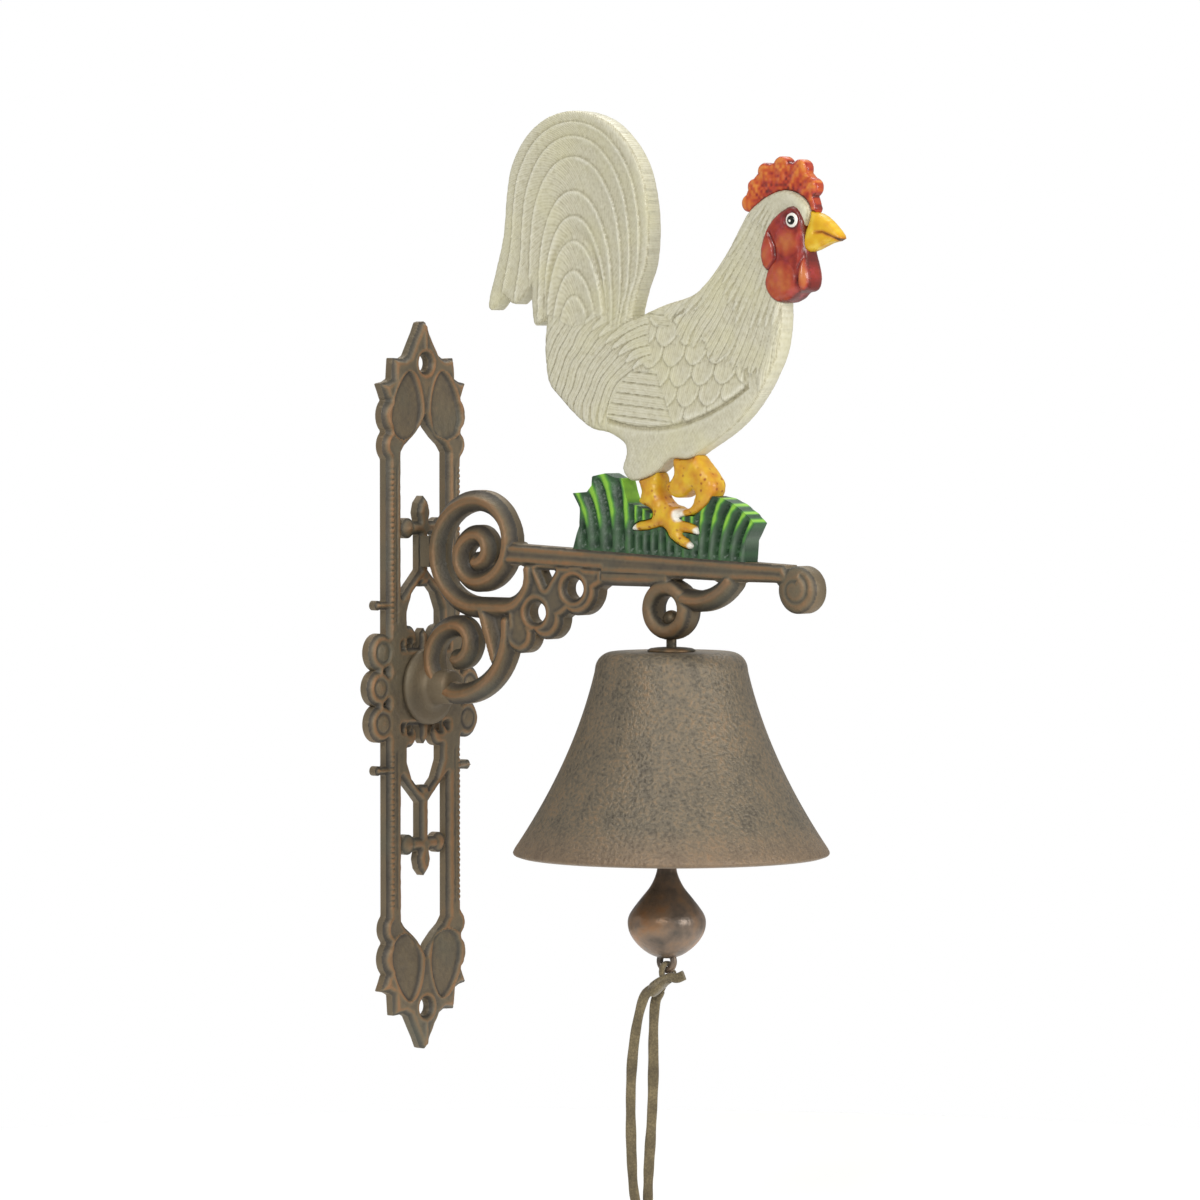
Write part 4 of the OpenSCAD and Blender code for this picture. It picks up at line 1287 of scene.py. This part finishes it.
def wire(radius, sides=16):
    return [(radius * math.cos(2 * math.pi * k / sides), radius * math.sin(2 * math.pi * k / sides))
            for k in range(sides)]


rod_eye = swept("hanger_eye", ring_line((EYE_X, 0, EYE_Z), EYE_RING, (0, 2)), wire(EYE_WIRE), closed=True)
nut_low, nut_high = CROWN_Z - 10.1, CROWN_Z - 6.1
nut = turned("crown_nut_hexagon", [(ROD_R + 0.05, nut_low), (4.0, nut_low), (4.6, nut_low + 0.5),
                                   (4.6, nut_high - 0.5), (4.0, nut_high), (ROD_R + 0.05, nut_high),
                                   (ROD_R + 0.05, nut_low)], foot=(BELL_X, 0, 0), sides=6)
inner = turned("inner_washer_disc", [(ROD_R + 0.05, CROWN_Z - 6.1), (7.7, CROWN_Z - 6.1), (8, CROWN_Z - 5.8),
                                     (8, CROWN_Z - 4.9), (7.7, CROWN_Z - 4.6), (ROD_R + 0.05, CROWN_Z - 4.6),
                                     (ROD_R + 0.05, CROWN_Z - 6.1)], foot=(BELL_X, 0, 0), sides=64)
for piece in (rod, rod_eye, nut, inner):
    piece.data.materials.append(steel)
    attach(piece, "hanger")
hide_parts("hanger_rod")
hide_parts("crown_nut")
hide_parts("inner_washer")


# ------------------------------------------------------------------ clapper
# A closed wire link joins the rod's eye to the clapper, which is cast with an eye, a
# slender shank, an onion-shaped weight and a lug under it for the pull.

LINK_TOP, LINK_LOW, LINK_HALF, LINK_WIRE = 1, -17, 4.4, 1.3
WEIGHT_R, LUG_Z = 17.2, -116.8

link_line = []
for middle, start in ((LINK_TOP - LINK_HALF, 0), (LINK_LOW + LINK_HALF, 180)):
    for k in range(25):
        a = math.radians(start + 180 * k / 24)
        link_line.append((EYE_X, LINK_HALF * math.cos(a), middle + LINK_HALF * math.sin(a)))
link = swept("clapper_link_wire", link_line, wire(LINK_WIRE), closed=True, across=(1, 0, 0))
link.data.materials.append(steel)
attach(link, "link")
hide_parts("clapper_link")

weight_profile = curve_through(
    [(2.6, -24), (3.2, -27), (3.5, -45), (3.7, -60), (4.1, -74), (5.0, -79), (7.4, -84),
     (11, -88.6), (14.4, -93), (16.6, -96.6), (WEIGHT_R, -100), (16.4, -104), (14, -108),
     (10.6, -111.4), (7, -113.8), (3.4, -115.2)], 5)
weight = turned("clapper_casting",
                [(0, -22.8), (1.6, -23)] + [tuple(p) for p in weight_profile] + [(0, -115.2)],
                foot=(EYE_X, 0, 0), sides=96)
clapper_eye = swept("clapper_eye_ring", ring_line((EYE_X, 0, LINK_LOW - 1), 4.2, (0, 2)), wire(1.8),
                    closed=True)
pull_lug = swept("clapper_lug", ring_line((EYE_X, 0, LUG_Z), 3.8, (0, 2)), wire(1.5), closed=True)


def clapper_iron():
    """The same patinated iron, darker and shinier where hands and the bell have rubbed it."""
    material, tree, shader, place = blank_finish("rubbed_cast_iron", Metallic=0.45, Roughness=0.36)
    sand = add(tree, "ShaderNodeTexNoise", {"Scale": 1 / 0.0016, "Detail": 3.0}, {"Vector": place})
    patch = add(tree, "ShaderNodeTexNoise", {"Scale": 1 / 0.011, "Detail": 4.0}, {"Vector": place})
    hue = add(tree, "ShaderNodeValToRGB", {}, {"Fac": patch.outputs["Fac"]},
              stops=[(0.34, "#5a5148"), (0.7, "#98714f"), (0.48, "#7a695a"), (0.58, "#8b725b")])
    tree.links.new(hue.outputs["Color"], shader.inputs["Base Color"])
    lift = add(tree, "ShaderNodeBump", {"Strength": 0.4, "Distance": 0.0005},
               {"Height": sand.outputs["Fac"]})
    tree.links.new(lift.outputs["Normal"], shader.inputs["Normal"])
    return material


rubbed_iron = clapper_iron()
for piece in (weight, clapper_eye, pull_lug):
    piece.data.materials.append(rubbed_iron)
    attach(piece, "clapper")
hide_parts("clapper_weight")


# ------------------------------------------------------------------ arm's screw
# One steel countersunk screw comes through the plate from behind and holds the arm's foot.

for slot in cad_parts["bracket_screw"].material_slots:
    slot.material = steel
